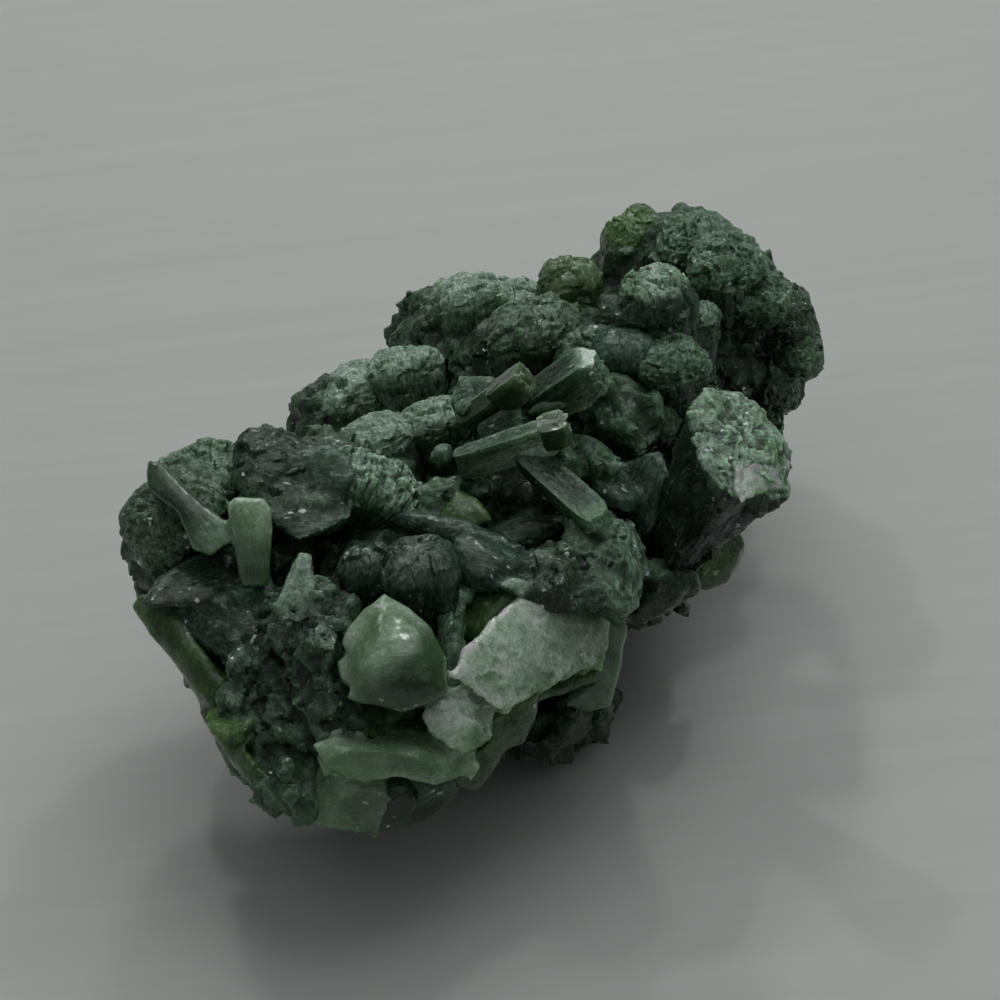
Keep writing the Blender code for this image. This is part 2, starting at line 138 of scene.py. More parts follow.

# What a crystal is like: colour of its body, which also serves as painted shade at the feet of fans and
# sheaves, colour of its tips and thin edges, paler there partly as painted light through them, frosting of
# its surface, depth in millimetres of its striae and of its grains, doming of its slabs, share of a sheaf's
# length from which it is pale, and its finish
Look = namedtuple("Look", "body tip frost striae grains dome pale_from finish")
LOOKS = {
    "mint": Look((0.170, 0.285, 0.150), (0.560, 0.670, 0.550), 0.20, 0.03, 0.05, 0.22, 0.50, "clear"),
    "milk": Look((0.760, 0.850, 0.800), (0.930, 0.960, 0.940), 0.36, 0.05, 0.075, 0.12, 0.50, "clear"),
    "sage": Look((0.110, 0.185, 0.105), (0.320, 0.440, 0.310), 0.16, 0.03, 0.04, 0.10, 0.60, "clear"),
    "olive": Look((0.032, 0.082, 0.014), (0.125, 0.220, 0.066), 0.18, 0.04, 0.07, 0.10, 0.80, "green"),
    "blue": Look((0.009, 0.028, 0.017), (0.048, 0.094, 0.070), 0.26, 0.06, 0.035, 0.12, 0.75, "slate"),
    "lilac": Look((0.008, 0.024, 0.017), (0.070, 0.112, 0.098), 0.22, 0.10, 0.05, 0.10, 0.80, "slate"),
    "grey": Look((0.014, 0.040, 0.017), (0.108, 0.178, 0.114), 0.50, 0.05, 0.10, 0.15, 0.80, "slate"),
    "sprig": Look((0.045, 0.090, 0.024), (0.165, 0.240, 0.115), 0.15, 0.03, 0.07, 0.08, 0.60, "clear"),
    "barrel": Look((0.009, 0.028, 0.016), (0.030, 0.052, 0.044), 0.45, 0.06, 0.035, 0.12, 0.80, "slate"),
    "film": Look((0.026, 0.058, 0.038), (0.120, 0.180, 0.140), 0.25, 0.04, 0.05, 0.08, 0.75, "slate"),
    "haze": Look((0.090, 0.138, 0.102), (0.320, 0.400, 0.345), 0.32, 0.05, 0.07, 0.15, 0.75, "slate"),
    "moss": Look((0.009, 0.024, 0.009), (0.070, 0.112, 0.066), 0.55, 0.05, 0.11, 0.15, 0.80, "slate"),
    "rubble": Look((0.007, 0.020, 0.009), (0.066, 0.104, 0.074), 0.70, 0.05, 0.13, 0.15, 0.80, "slate"),
    "dark": Look((0.004, 0.015, 0.004), (0.030, 0.066, 0.026), 0.25, 0.05, 0.08, 0.15, 0.90, "green"),
    "frost": Look((0.030, 0.060, 0.036), (0.230, 0.310, 0.245), 1.00, 0.04, 0.10, 0.15, 1.45, "slate"),
    "crest": Look((0.004, 0.012, 0.006), (0.240, 0.325, 0.255), 1.00, 0.06, 0.10, 0.10, 0.95, "slate"),
}

# Slabs: name, outline in the view, depth of its middle, lean across and down (mm in 100 steps),
# thickness, look
SLABS = [
    ("flared_wedge", [(152, 466), (165, 468), (202, 503), (222, 520), (226, 540), (207, 552), (192, 545),
        (178, 512), (152, 492)], -5, (-1, -4), 5, "sage"),
    ("pale_column", [(230, 508), (236, 501), (262, 502), (269, 511), (270, 532), (267, 580), (243, 580),
        (236, 548)], -7, (0, -2), 4, "mint"),
    ("column_foot", [(240, 576), (268, 578), (280, 606), (280, 628), (258, 632), (241, 612)],
        -5, (0, -3), 5, "blue"),
    ("striated_wedge", [(146, 603), (163, 577), (190, 561), (232, 548), (242, 575), (242, 602), (200, 606),
        (168, 606)], -5, (0, -5), 6, "lilac"),
    ("wedge_face", [(168, 602), (242, 598), (242, 655), (205, 650), (182, 622)], -6, (0, -2), 8, "blue"),
    ("left_blade", [(140, 613), (148, 602), (166, 603), (190, 628), (215, 665), (234, 682), (238, 698),
        (216, 711), (205, 705), (187, 677)], -6, (-2, -2), 8, "olive"),
    ("lower_left_blade", [(203, 716), (210, 705), (224, 713), (242, 742), (266, 772), (292, 802),
        (262, 787), (238, 768)], -8, (-2, -2), 8, "olive"),
    ("olive_patch", [(222, 712), (238, 703), (258, 711), (263, 736), (245, 744), (231, 735)],
        -8.5, (0, -2), 5, "olive"),
    ("lower_left_block", [(252, 745), (300, 738), (328, 758), (328, 800), (302, 813), (270, 790)],
        -9, (0, -2), 9, "grey"),
    ("front_block_a", [(243, 600), (276, 606), (285, 640), (262, 662), (242, 652)],
        -6, (0, -3), 8, "rubble"),
    ("front_block_b", [(283, 612), (318, 590), (346, 600), (350, 642), (322, 662), (288, 650)],
        -9, (1, -4), 9, "rubble"),
    ("front_block_c", [(236, 665), (264, 650), (302, 645), (310, 684), (285, 706), (245, 700)],
        -7, (0, -2), 8, "rubble"),
    ("front_block_d", [(300, 650), (346, 640), (354, 692), (330, 716), (300, 704)],
        -10, (0, -2), 9, "rubble"),
    ("front_block_e", [(240, 704), (286, 700), (304, 742), (262, 750)], -8, (0, -2), 8, "rubble"),
    ("front_block_f", [(296, 702), (352, 698), (372, 740), (330, 752), (305, 748)],
        -10, (0, -2), 9, "rubble"),
    ("front_block_g", [(352, 698), (400, 705), (432, 714), (440, 740), (400, 742), (364, 744)],
        -10, (0, -2), 9, "olive"),
    ("frosty_blade", [(299, 556), (312, 557), (314, 582), (302, 602), (284, 608), (279, 600), (291, 571)],
        -10, (2, -4), 2, "haze"),
    ("near_top", [(240, 447), (252, 434), (264, 432), (302, 444), (334, 452), (351, 472), (350, 505),
        (318, 528), (268, 518), (240, 502), (235, 480)], 0, (1, -4), 9, "moss"),
    ("upper_flap", [(292, 470), (308, 452), (330, 447), (346, 458), (354, 476), (344, 492), (326, 501),
        (300, 494)], -1.5, (0, -3), 4, "film"),
    ("lower_flap", [(266, 516), (300, 502), (335, 501), (347, 511), (346, 519), (320, 531), (298, 539)],
        -3, (0, -7), 3.5, "film"),
    ("flap_shade", [(270, 518), (300, 536), (292, 562), (279, 596), (270, 580)], 0, (0, 0), 6, "dark"),
    ("flap_root", [(285, 470), (330, 462), (358, 480), (352, 520), (318, 528), (282, 515)],
        0, (0, -3), 6, "blue"),
    ("spar", [(392, 512), (420, 514), (456, 520), (500, 534), (520, 548), (470, 547), (430, 539),
        (408, 530), (394, 522)], -2, (0, -3), 5, "lilac"),
    ("blue_body", [(457, 542), (476, 537), (506, 552), (522, 560), (528, 575), (506, 591), (470, 590),
        (459, 577)], -6, (0, -4), 8, "blue"),
    ("cleft_blade", [(458, 590), (516, 592), (502, 620), (482, 642), (458, 642)], -6, (0, -1), 6, "olive"),
    ("grey_spine", [(440, 612), (454, 590), (466, 600), (463, 640), (472, 656), (456, 694), (438, 692)],
        -9, (0, -1), 6, "grey"),
    ("mint_cap", [(383, 601), (404, 613), (425, 630), (438, 660), (440, 690), (402, 706), (366, 699),
        (349, 694), (353, 686), (345, 678), (342, 662), (349, 655), (346, 645), (351, 632), (362, 618)],
        -15, (1, -3), 11, "mint"),
    ("mint_slab", [(520, 604), (556, 612), (602, 613), (598, 650), (583, 667), (530, 692), (505, 706),
        (480, 690), (460, 672), (470, 652), (500, 620)], -9, (7, -4), 6, "milk"),
    ("mint_foot", [(424, 716), (444, 690), (470, 688), (490, 706), (488, 735), (462, 748), (438, 736)],
        -13, (2, -2), 7, "milk"),
    ("pale_ledge", [(322, 746), (340, 738), (372, 742), (400, 734), (440, 738), (468, 750), (462, 770),
        (430, 782), (396, 774), (366, 780), (335, 766)], -13, (0, -3), 8, "mint"),
    ("bottom_mint", [(326, 764), (376, 758), (384, 800), (374, 829), (332, 824), (288, 807), (308, 794)],
        -11, (-1, 1), 7, "mint"),
    ("bottom_green", [(374, 760), (406, 760), (422, 800), (400, 824), (370, 829), (378, 800)],
        -11, (0, 2), 7, "dark"),
    ("bottom_blue", [(408, 770), (452, 780), (456, 790), (450, 803), (430, 817), (402, 824), (416, 800)],
        -11, (1, 2), 7, "blue"),
    ("front_corner", [(440, 768), (464, 754), (496, 744), (502, 752), (490, 771), (476, 788), (455, 784)],
        -10, (3, 2), 7, "olive"),
    ("green_rim_low", [(500, 706), (536, 694), (532, 720), (520, 741), (500, 746), (489, 738), (488, 720)],
        -9, (4, 0), 7, "olive"),
    ("green_rim_high", [(514, 700), (560, 676), (598, 666), (592, 684), (570, 691), (545, 698)],
        -4, (5, -2), 6, "olive"),
    ("dark_under", [(528, 746), (540, 712), (566, 690), (600, 702), (600, 716), (575, 742), (545, 750)],
        6, (5, -2), 10, "dark"),
    ("rim_crystal", [(596, 610), (622, 608), (624, 640), (618, 672), (609, 702), (590, 706), (568, 701),
        (576, 682), (598, 664)], -1, (-1, -1), 5, "sage"),
    ("knob_left", [(523, 595), (532, 560), (545, 548), (576, 543), (584, 575), (577, 606), (545, 611)],
        -5, (3, -4), 9, "moss"),
    ("knob_right", [(572, 520), (600, 514), (626, 530), (641, 558), (634, 600), (618, 614), (590, 611),
        (576, 590)], -3, (4, -4), 9, "frost"),
    ("rough_chip", [(620, 543), (634, 541), (644, 549), (643, 562), (627, 561)], 0, (2, -2), 3, "grey"),
    ("step_block_a", [(548, 446), (568, 442), (580, 460), (586, 476), (571, 480), (559, 463)],
        1, (0, -3), 6, "grey"),
    ("step_block_b", [(568, 438), (590, 443), (606, 455), (618, 462), (612, 482), (594, 477), (579, 455)],
        3, (0, -3), 7, "grey"),
    ("step_block_c", [(588, 480), (620, 474), (642, 500), (628, 512), (602, 502)], 3, (0, -3), 7, "blue"),
    ("chunk_underside", [(528, 414), (543, 396), (598, 390), (574, 410), (548, 416)], 3, (0, 2), 6, "sage"),
    ("pale_blob", [(454, 401), (464, 381), (495, 379), (499, 396), (480, 416), (459, 413)],
        7, (0, -4), 5, "grey"),
    ("olive_block", [(443, 516), (458, 493), (475, 500), (488, 519), (470, 529), (447, 525)],
        -1, (0, -3), 4.5, "olive"),
    ("side_block_a", [(417, 490), (434, 478), (457, 480), (461, 500), (445, 516), (421, 509)],
        1, (0, -3), 5, "grey"),
    ("side_block_b", [(458, 482), (486, 481), (492, 497), (470, 500)], 2, (0, -3), 5, "grey"),
    ("cavity_wall", [(484, 496), (504, 464), (515, 456), (540, 470), (556, 506), (520, 521), (494, 517)],
        6, (1, 3), 5, "dark"),
    ("blue_ridge", [(486, 531), (520, 516), (562, 517), (556, 532), (530, 547), (500, 543)],
        1, (0, -3), 6, "lilac"),
    ("right_wedge", [(620, 470), (660, 455), (669, 490), (665, 502), (655, 521), (640, 541), (631, 530),
        (619, 500)], 4, (-3, 0), 6, "lilac"),
    ("green_crystal", [(697, 582), (701, 546), (722, 520), (737, 529), (743, 548), (733, 570), (727, 580),
        (704, 588)], 9, (0, -1), 5, "olive"),
    ("lower_right_block", [(624, 600), (640, 572), (681, 576), (684, 590), (676, 604), (650, 619),
        (627, 618)], 5, (0, -2), 9, "dark"),
    ("frosty_rim", [(641, 573), (649, 558), (668, 556), (664, 572)], 3, (0, -1), 3, "frost"),
    ("smooth_facet", [(737, 470), (762, 460), (787, 464), (777, 486), (742, 499), (736, 489)],
        -8, (4, -6), 3, "milk"),
    ("dark_lump_a", [(596, 385), (622, 378), (652, 392), (656, 420), (630, 440), (600, 425)],
        8, (0, -3), 9, "grey"),
    ("white_chip", [(500, 586), (514, 579), (526, 582), (521, 597), (514, 593)], -8, (0, -3), 1.6, "haze"),
    ("square_tab", [(583, 656), (595, 647), (604, 655), (601, 671), (583, 662)], -4, (0, -3), 1.5, "mint"),
    ("little_knob", [(433, 458), (438, 447), (450, 444), (454, 456), (440, 464)], 5, (0, -3), 3, "grey"),
]

# Painted shade where a slab grows out of the mass: direction of its root in the view, across and down, how
# much of it the painted shade takes, and how deep green it is there
ROOT_SHADES = {
    "mint_cap": (0.80, 0.65, 0.58, 0.97), "pale_column": (0.1, 1.0, 0.60, 0.65),
    "flared_wedge": (-0.7, -0.8, 0.90, 0.85), "near_top": (-0.5, -0.9, 0.50, 0.85),
    "upper_flap": (-0.6, 0.5, 0.50, 0.60), "lower_flap": (-0.7, -0.8, 0.60, 0.85),
    "mint_slab": (1.0, 0.35, 0.60, 0.55), "mint_foot": (0.9, 0.1, 0.40, 0.50),
    "striated_wedge": (0.3, 1.0, 0.75, 0.90), "wedge_face": (0.0, 1.0, 0.50, 0.60),
    "green_crystal": (0.3, -1.0, 0.50, 0.60), "knob_left": (-0.8, 0.6, 0.60, 0.85),
    "knob_right": (-0.9, 0.5, 0.50, 0.90), "blue_body": (0.2, 1.0, 0.50, 0.80),
    "bottom_mint": (0.9, 0.2, 0.50, 0.50), "rim_crystal": (-0.6, 0.3, 0.50, 0.60),
}

# Fans: name, foot and tip (across, down, depth), width, thickness at the foot, spread and turn, look
FANS = [
    ("crinkled_fan", (345, 535, 4), (384, 468, 0), 7, 3, 70, 15, "frost"),
]

# Sheaves: name, foot and middle of the tip (across, down, depth), breadth across and through, waist as a
# share of them, height of the cap as a share of its half breadth, turn, look
SHEAVES = [
    ("left_dome", (228, 575, 7), (173, 515, 0), 8.8, 9.0, 0.5, 0.42, 10, "moss"),
    ("dome_top", (226, 560, 8), (200, 474, 3), 7.6, 7.6, 0.6, 0.38, 0, "grey"),
    ("barrel", (424, 652, -4), (421, 566, -9), 6.2, 6.0, 0.70, 0.55, 0, "barrel"),
    ("barrel_neighbour", (372, 640, -3), (366, 570, -7), 4.4, 4.4, 0.8, 0.8, 0, "barrel"),
    ("big_right_fan", (652, 588, 9), (738, 446, -6), 7.6, 10.4, 0.36, 0.26, -50, "crest"),
    ("back_centre", (545, 430, 20), (536, 331, 15), 8.0, 8.0, 0.6, 0.6, 0, "moss"),
    ("back_centre_b", (597, 425, 18), (594, 362, 12), 7.0, 7.0, 0.6, 0.5, 0, "moss"),
    ("pale_green_lobe", (575, 350, 27), (571, 281, 23), 5.2, 5.2, 0.7, 0.7, 0, "sprig"),
    ("tall_lobe", (485, 390, 32), (470, 300, 30), 7.4, 7.0, 0.7, 0.65, 0, "haze"),
    ("tall_lobe_b", (520, 380, 34), (512, 304, 30), 6.2, 6.2, 0.7, 0.6, 0, "haze"),
    ("far_lobe_a", (376, 482, 34), (338, 423, 33), 6.4, 6.4, 0.7, 0.6, 0, "haze"),
    ("far_lobe_b", (388, 462, 30), (363, 389, 27), 7.4, 7.0, 0.7, 0.6, 0, "haze"),
    ("far_lobe_c", (422, 442, 26), (406, 369, 25), 6.6, 6.6, 0.7, 0.6, 0, "haze"),
    ("far_lobe_d", (402, 500, 16), (373, 441, 14), 7.0, 7.0, 0.6, 0.5, 0, "haze"),
    ("far_lobe_e", (450, 472, 16), (437, 419, 14), 6.0, 6.0, 0.6, 0.5, 0, "haze"),
    ("top_lobe", (660, 300, 36), (635, 238, 30), 5.6, 5.6, 0.7, 0.75, 0, "olive"),
    ("top_lobe_b", (690, 300, 32), (689, 242, 28), 7.2, 7.0, 0.7, 0.6, 0, "grey"),
    ("capped_column", (666, 380, 15), (656, 305, 12), 6.4, 6.4, 0.9, 1.0, 0, "frost"),
    ("column_lobe_a", (628, 412, 13), (626, 352, 10), 5.6, 5.6, 0.8, 0.7, 0, "blue"),
    ("column_lobe_b", (675, 418, 12), (672, 364, 9), 5.8, 5.8, 0.8, 0.7, 0, "grey"),
    ("capped_side", (685, 402, 17), (692, 318, 15), 4.6, 5.0, 0.8, 0.6, 0, "grey"),
    ("right_lobe_a", (728, 332, 24), (728, 263, 19), 6.6, 6.6, 0.7, 0.6, 0, "grey"),
    ("right_lobe_b", (738, 342, 24), (758, 294, 20), 5.8, 5.8, 0.7, 0.6, 0, "grey"),
    ("right_lobe_c", (742, 352, 24), (790, 320, 22), 5.8, 5.8, 0.7, 0.6, 0, "dark"),
    ("right_lobe_d", (745, 362, 25), (806, 347, 22), 4.8, 4.8, 0.7, 0.6, 0, "grey"),
    ("right_lobe_e", (735, 382, 26), (782, 382, 24), 5.2, 5.2, 0.7, 0.6, 0, "dark"),
    ("right_lobe_f", (705, 432, 28), (764, 421, 25), 4.6, 4.6, 0.7, 0.6, 0, "dark"),
    ("dark_stem", (690, 472, 16), (712, 414, 12), 6.0, 6.0, 0.7, 0.5, 0, "dark"),
    ("middle_lobe", (640, 455, 16), (640, 408, 10), 6.8, 6.8, 0.7, 0.5, 0, "moss"),
]

# Bars: name, foot and tip (across, down, depth), width, thickness, turn, look
BARS = [
    ("finger_blade", (458, 464, 1), (560, 433, -1), 2.2, 2.2, 25, "haze"),
    ("finger_end", (540, 435, -1.5), (570, 427, -1.5), 2.3, 2.3, 45, "sprig"),
    ("diagonal_plate", (522, 452, 0), (606, 528, -5), 2.8, 1.1, 60, "grey"),
    ("top_chunk", (536, 406, 4), (600, 363, 1), 3.4, 3.2, 30, "grey"),
    ("chunk_flank", (532, 412, 4), (590, 388, 2), 2.4, 2.4, 10, "sprig"),
    ("small_knob", (496, 400, 4), (528, 378, 2), 2.6, 2.4, 20, "sprig"),
    ("knob_stem", (466, 424, 6), (506, 396, 4), 2.0, 2.2, 40, "sprig"),
    ("triangle_plate", (483, 438, 4), (528, 415, 3), 2.2, 1.4, 70, "grey"),
]

# Lumps under the crystals: middle (across, down, depth), half sizes across, up and ahead in the view,
# and whether hidden fans stand out of it
LUMPS = [
    ((465, 590, 15), (11, 9, 10), False),
    ((212, 560, 10), (7, 7, 8), True),
    ((245, 650, 6), (5, 6, 7), True),
    ((330, 690, 3), (9, 9, 9), True),
    ((430, 690, 6), (7, 7, 8), True),
    ((560, 500, 16), (10, 7, 10), False),
    ((320, 500, 12), (9, 6, 8), True),
    ((400, 590, 7), (9, 7, 9), False),
    ((580, 600, 8), (3.5, 7, 7), False),
    ((655, 530, 16), (5.5, 6, 8), False),
    ((385, 450, 31), (9, 8, 8), True),
    ((475, 370, 34), (9, 8, 8), True),
    ((580, 390, 27), (12, 9, 10), True),
    ((725, 340, 29), (8, 8, 8), True),
    ((668, 285, 34), (7, 7, 8), True),
]

# Ground masses that the cluster rests on: middle and half sizes, in the frame of VIEW_TARGET
GROUND = [
    ((-3.0, 23.0, 6.0), (9.0, 9.0, 8.5)),
    ((2.0, 41.0, 8.0), (14.0, 11.0, 11.0)),
    ((-10.0, 36.0, 6.0), (8.0, 11.0, 9.0)),
]

# Lights: name, place and size in metres, power in watts; and the tints of the lights and of the room
LIGHTS = [
    ("ceiling", (0.10, -0.20, 0.90), 1.60, 1.6),
    ("window", (0.45, 0.40, 1.45), 1.30, 4.6),
    ("far_window", (-0.25, 1.25, 1.00), 0.45, 1.3),
    ("spark", (-0.18, 0.50, 0.70), 0.05, 0.42),
    ("spark_right", (0.30, 0.35, 0.60), 0.05, 0.32),
    ("spark_low", (0.05, 0.60, 0.40), 0.06, 0.40),
]
LIT_POINT = Vector((0, 0, 0.015))
LIGHT_TINT = (0.95, 1.0, 0.96)
ROOM_TINT = (0.93, 1.0, 0.96, 1.0)
ROOM_GLOW = 0.11
FLOOR_REACH = 3.0
FLOOR_SHADES = ((0.58, 0.58, 0.58, 1.0), (0.66, 0.655, 0.66, 1.0))


# Places

def on_stone(point):
    """A point in the frame of VIEW_TARGET, in millimetres, as metres about the footprint's middle."""
    return (Vector(point) - FOOTPRINT_MIDDLE) * MM


def sighted(across, down, depth):
    """The point seen at this place of the view, this far behind its plane."""
    reach = VIEW_STEP * (1.0 + depth / VIEW_DISTANCE)
    side = (across - VIEW_SQUARE / 2) * reach
    rise = (VIEW_SQUARE / 2 - down) * reach
    return on_stone(VIEW_TARGET + AHEAD * depth + ACROSS * side + ABOVE * rise)


# Nodes

class Wire:
    """A socket of a node tree; arithmetic with wires adds Math nodes."""

    def __init__(self, nodes, socket):
        self.nodes = nodes
        self.socket = socket

    def math(self, operation, *others):
        return self.nodes.math(operation, self, *others)

    def __add__(self, other):
        return self.math("ADD", other)

    def __radd__(self, other):
        return self.nodes.math("ADD", other, self)

    def __sub__(self, other):
        return self.math("SUBTRACT", other)

    def __rsub__(self, other):
        return self.nodes.math("SUBTRACT", other, self)

    def __mul__(self, other):
        return self.math("MULTIPLY", other)

    def __rmul__(self, other):
        return self.nodes.math("MULTIPLY", other, self)

    def __truediv__(self, other):
        return self.math("DIVIDE", other)

    def __rtruediv__(self, other):
        return self.nodes.math("DIVIDE", other, self)

    def __pow__(self, other):
        return self.math("POWER", other)


class Nodes:
    """Adds nodes to a tree: their settings first, then the values and links of their sockets."""

    def __init__(self, tree):
        self.tree = tree
        tree.nodes.clear()

    def add(self, kind, settings=None, inputs=None, output=0):
        node = self.tree.nodes.new(kind)
        for key, value in (settings or {}).items():
            setattr(node, key, value)
        for key, value in (inputs or {}).items():
            if isinstance(value, Wire):
                self.tree.links.new(value.socket, node.inputs[key])
            else:
                node.inputs[key].default_value = value
        return Wire(self, node.outputs[output]) if len(node.outputs) else node

    def math(self, operation, *values):
        return self.add("ShaderNodeMath", {"operation": operation}, dict(enumerate(values)))

    def clamped(self, value):
        return self.add("ShaderNodeMath", {"operation": "ADD", "use_clamp": True}, {0: value, 1: 0.0})

    def between(self, value, low, high):
        """0 below low, 1 above high, smooth between them."""
        return self.add("ShaderNodeMapRange", {"interpolation_type": "SMOOTHSTEP"},
                        {"Value": value, "From Min": low, "From Max": high})

    def vector(self, operation, *values, output=0):
        return self.add("ShaderNodeVectorMath", {"operation": operation}, dict(enumerate(values)), output)

    def stretched(self, wire, factor):
        return self.add("ShaderNodeVectorMath", {"operation": "SCALE"}, {0: wire, "Scale": factor})

    def joined(self, x, y, z):
        return self.add("ShaderNodeCombineXYZ", None, {0: x, 1: y, 2: z})

    def split(self, wire):
        node = self.tree.nodes.new("ShaderNodeSeparateXYZ")
        self.tree.links.new(wire.socket, node.inputs[0])
        return [Wire(self, node.outputs[i]) for i in range(3)]

    def noise(self, place, scale, detail=3.0, roughness=0.55):
        return self.add("ShaderNodeTexNoise", {"noise_dimensions": "3D"},
                        {"Vector": place, "Scale": scale, "Detail": detail, "Roughness": roughness})

    def blend(self, share, first, second):
        """First colour where share is 0, second where it is 1."""
        node = self.tree.nodes.new("ShaderNodeMix")
        node.data_type = "RGBA"
        for socket, value in zip((node.inputs[0], node.inputs[6], node.inputs[7]), (share, first, second)):
            if isinstance(value, Wire):
                self.tree.links.new(value.socket, socket)
            else:
                socket.default_value = value
        return Wire(self, node.outputs[2])


# Finishes

def new_material(name):
    """A new material, and what adds nodes to it."""
    material = bpy.data.materials.new(name)
    material.use_nodes = True
    return material, Nodes(material.node_tree)


def shaded(nodes, constants, wires):
    """Ends a material with one shader that takes these constants and these wires."""
    shader = nodes.tree.nodes.new("ShaderNodeBsdfPrincipled")
    for key, value in constants.items():
        shader.inputs[key].default_value = value
    for key, wire in wires.items():
        nodes.tree.links.new(wire.socket, shader.inputs[key])
    output = nodes.tree.nodes.new("ShaderNodeOutputMaterial")
    nodes.tree.links.new(shader.outputs[0], output.inputs["Surface"])


def attribute(nodes, name, output):
    return nodes.add("ShaderNodeAttribute", {"attribute_name": name}, output=output)


def crystal_finish(name, seen_through, soaked, soak_radius, soak_tint, gloss, sheen, sparkle, speckle):
    """Translucent crystal: deep green as painted shade where it faces down and sideways, paler and frosted
    where it faces up as painted top light, and flaky.
    """
    material, nodes = new_material(name)
    tint = attribute(nodes, "tint", "Color")
    grain = attribute(nodes, "grain", "Vector")
    frost = attribute(nodes, "frost", "Fac")
    place = nodes.stretched(nodes.add("ShaderNodeTexCoord", output="Object"), 1 / MM)
    surface = nodes.add("ShaderNodeNewGeometry", output="Normal")

    clouds = nodes.noise(place, 0.40, 3.0)
    specks = nodes.noise(place, 3.2, 2.0, 0.6)
    streaks = nodes.noise(nodes.vector("MULTIPLY", grain, (6.0, 6.0, 0.28)), 1.0, 4.0, 0.6)
    flakes = nodes.add("ShaderNodeTexVoronoi", {"feature": "F1"},
                       {"Vector": nodes.vector("MULTIPLY", grain, (1.0, 1.3, 0.6)), "Scale": 3.6}, "Color")
    lit_flake, dark_flake, bright_flake = nodes.split(flakes)
    # Painted top light: faces turned up get the paler, frosted colour, and faces turned down keep the deep
    # green as painted shade
    facing_up = nodes.between(nodes.split(surface)[2], -0.4, 0.8)

    pale_share = 0.02 + 0.66 * facing_up + (0.6 + 3.4 * speckle) * (clouds - 0.5)
    pale_share = pale_share + 0.4 * (lit_flake - 0.5) * (0.25 + frost)
    deep = nodes.vector("MULTIPLY", tint, (0.34, 0.52, 0.28))
    frost_and_top_light = nodes.blend(0.02 + 0.22 * frost, nodes.vector("MULTIPLY", tint, (1.12, 1.15, 1.12)),
                          (0.24, 0.33, 0.27, 1.0))
    colour = nodes.blend(nodes.clamped(pale_share), deep, frost_and_top_light)
    mottle = 1 + 0.5 * speckle * (dark_flake - 0.5) + speckle * (nodes.between(specks, 0.35, 0.65) - 0.5)
    shade = (1 + (0.15 + 1.1 * speckle) * (nodes.between(streaks, 0.30, 0.70) - 0.5)) * mottle
    colour = nodes.stretched(colour, shade)
    crumbs = nodes.between(specks, 0.60, 0.72) * (0.10 + 0.60 * frost) * speckle
    # Painted glints: rare flakes painted near white
    glint = nodes.between(bright_flake, 0.970, 0.98) * (0.3 + frost) * nodes.between(clouds, 0.53, 0.60)
    striae = nodes.between(streaks, 0.57, 0.66) * (1 - frost) * speckle
    colour = nodes.blend(nodes.clamped(striae), colour, (0.22, 0.29, 0.27, 1.0))
    colour = nodes.blend(nodes.clamped(crumbs), colour, (0.36, 0.43, 0.38, 1.0))
    colour = nodes.blend(nodes.clamped(glint), colour, (0.90, 0.95, 0.96, 1.0))

    tilt = nodes.vector("SUBTRACT", flakes, (0.5, 0.5, 0.5))
    tilted = nodes.vector("NORMALIZE", nodes.vector("ADD", surface, nodes.stretched(tilt, sparkle)))
    relief = streaks * 0.6 + specks * (0.25 + 0.75 * frost)
    normal = nodes.add("ShaderNodeBump", None,
                       {"Strength": 0.6, "Distance": 0.00009, "Height": relief, "Normal": tilted})

    rough = nodes.clamped(gloss + 0.18 * frost + 0.45 * (specks - 0.5) - 0.20 * glint)
    constants = {"IOR": CRYSTAL_IOR, "Specular IOR Level": sheen, "Specular Tint": SHINE_TINT,
                 "Coat Roughness": 0.12, "Coat IOR": 1.6, "Transmission Weight": seen_through,
                 "Subsurface Weight": soaked, "Subsurface Scale": soak_radius * MM,
                 "Subsurface Radius": soak_tint}
    shaded(nodes, constants, {"Base Color": colour, "Roughness": rough, "Normal": normal,
                              "Coat Weight": 0.28 - 0.24 * frost})
    return material


def floor_finish():
    """Plain pale board with faint streaks."""
    material, nodes = new_material("pale_floor")
    place = nodes.add("ShaderNodeTexCoord", output="Object")
    streaks = nodes.noise(nodes.vector("MULTIPLY", place, (20.0, 320.0, 1.0)), 1.0, 3.0)
    shaded(nodes, {"Roughness": 0.6}, {"Base Color": nodes.blend(streaks, *FLOOR_SHADES)})
    return material


# Finishes: share seen through and share soaked with light, depth and tint of the soaking, gloss, sheen,
# tilt of its flakes, and strength of its speckles
FINISHES = {
    "clear": crystal_finish("mint_crystal", 0.26, 0.85, 2.6, (0.75, 1.0, 0.75), 0.17, 0.40, 0.15, 0.20),
    "green": crystal_finish("olive_crystal", 0.15, 0.55, 1.6, (0.6, 1.0, 0.5), 0.22, 0.32, 0.28, 0.32),
    "slate": crystal_finish("slate_crystal", 0.0, 0.40, 0.9, (0.7, 1.0, 0.8), 0.25, 0.24, 0.40, 0.44),
}


# Shells

# What each point of a shell carries: the kind of its layer, the name of the layer's field, its width
FIELDS = {"tint": ("FLOAT_COLOR", "color", 4), "grain": ("FLOAT_VECTOR", "vector", 3),
          "frost": ("FLOAT", "value", 1)}


class Shell:
    """One closed crystal: its points in metres, its faces, and its tint, grain and frost at each point."""

    def __init__(self, points, faces, tint, grain, frost, axes=None):
        self.points = np.asarray(points, float)
        self.faces = faces
        self.tint = np.asarray(tint, float)
        self.grain = np.asarray(grain, float)
        self.frost = np.asarray(frost, float)
        self.axes = np.identity(3) if axes is None else axes
        self.face_outward()

    def face_outward(self):
        """Turns all the faces over if they look inward."""
        volume = 0.0
        for size in (3, 4):
            block = np.array([f for f in self.faces if len(f) == size], int).reshape(-1, size)
            for i in range(1, size - 1):
                a, b, c = (self.points[block[:, k]] for k in (0, i, i + 1))
                volume += np.einsum("ij,ij->i", a, np.cross(b, c)).sum()
        if volume < 0:
            self.faces = [tuple(reversed(f)) for f in self.faces]


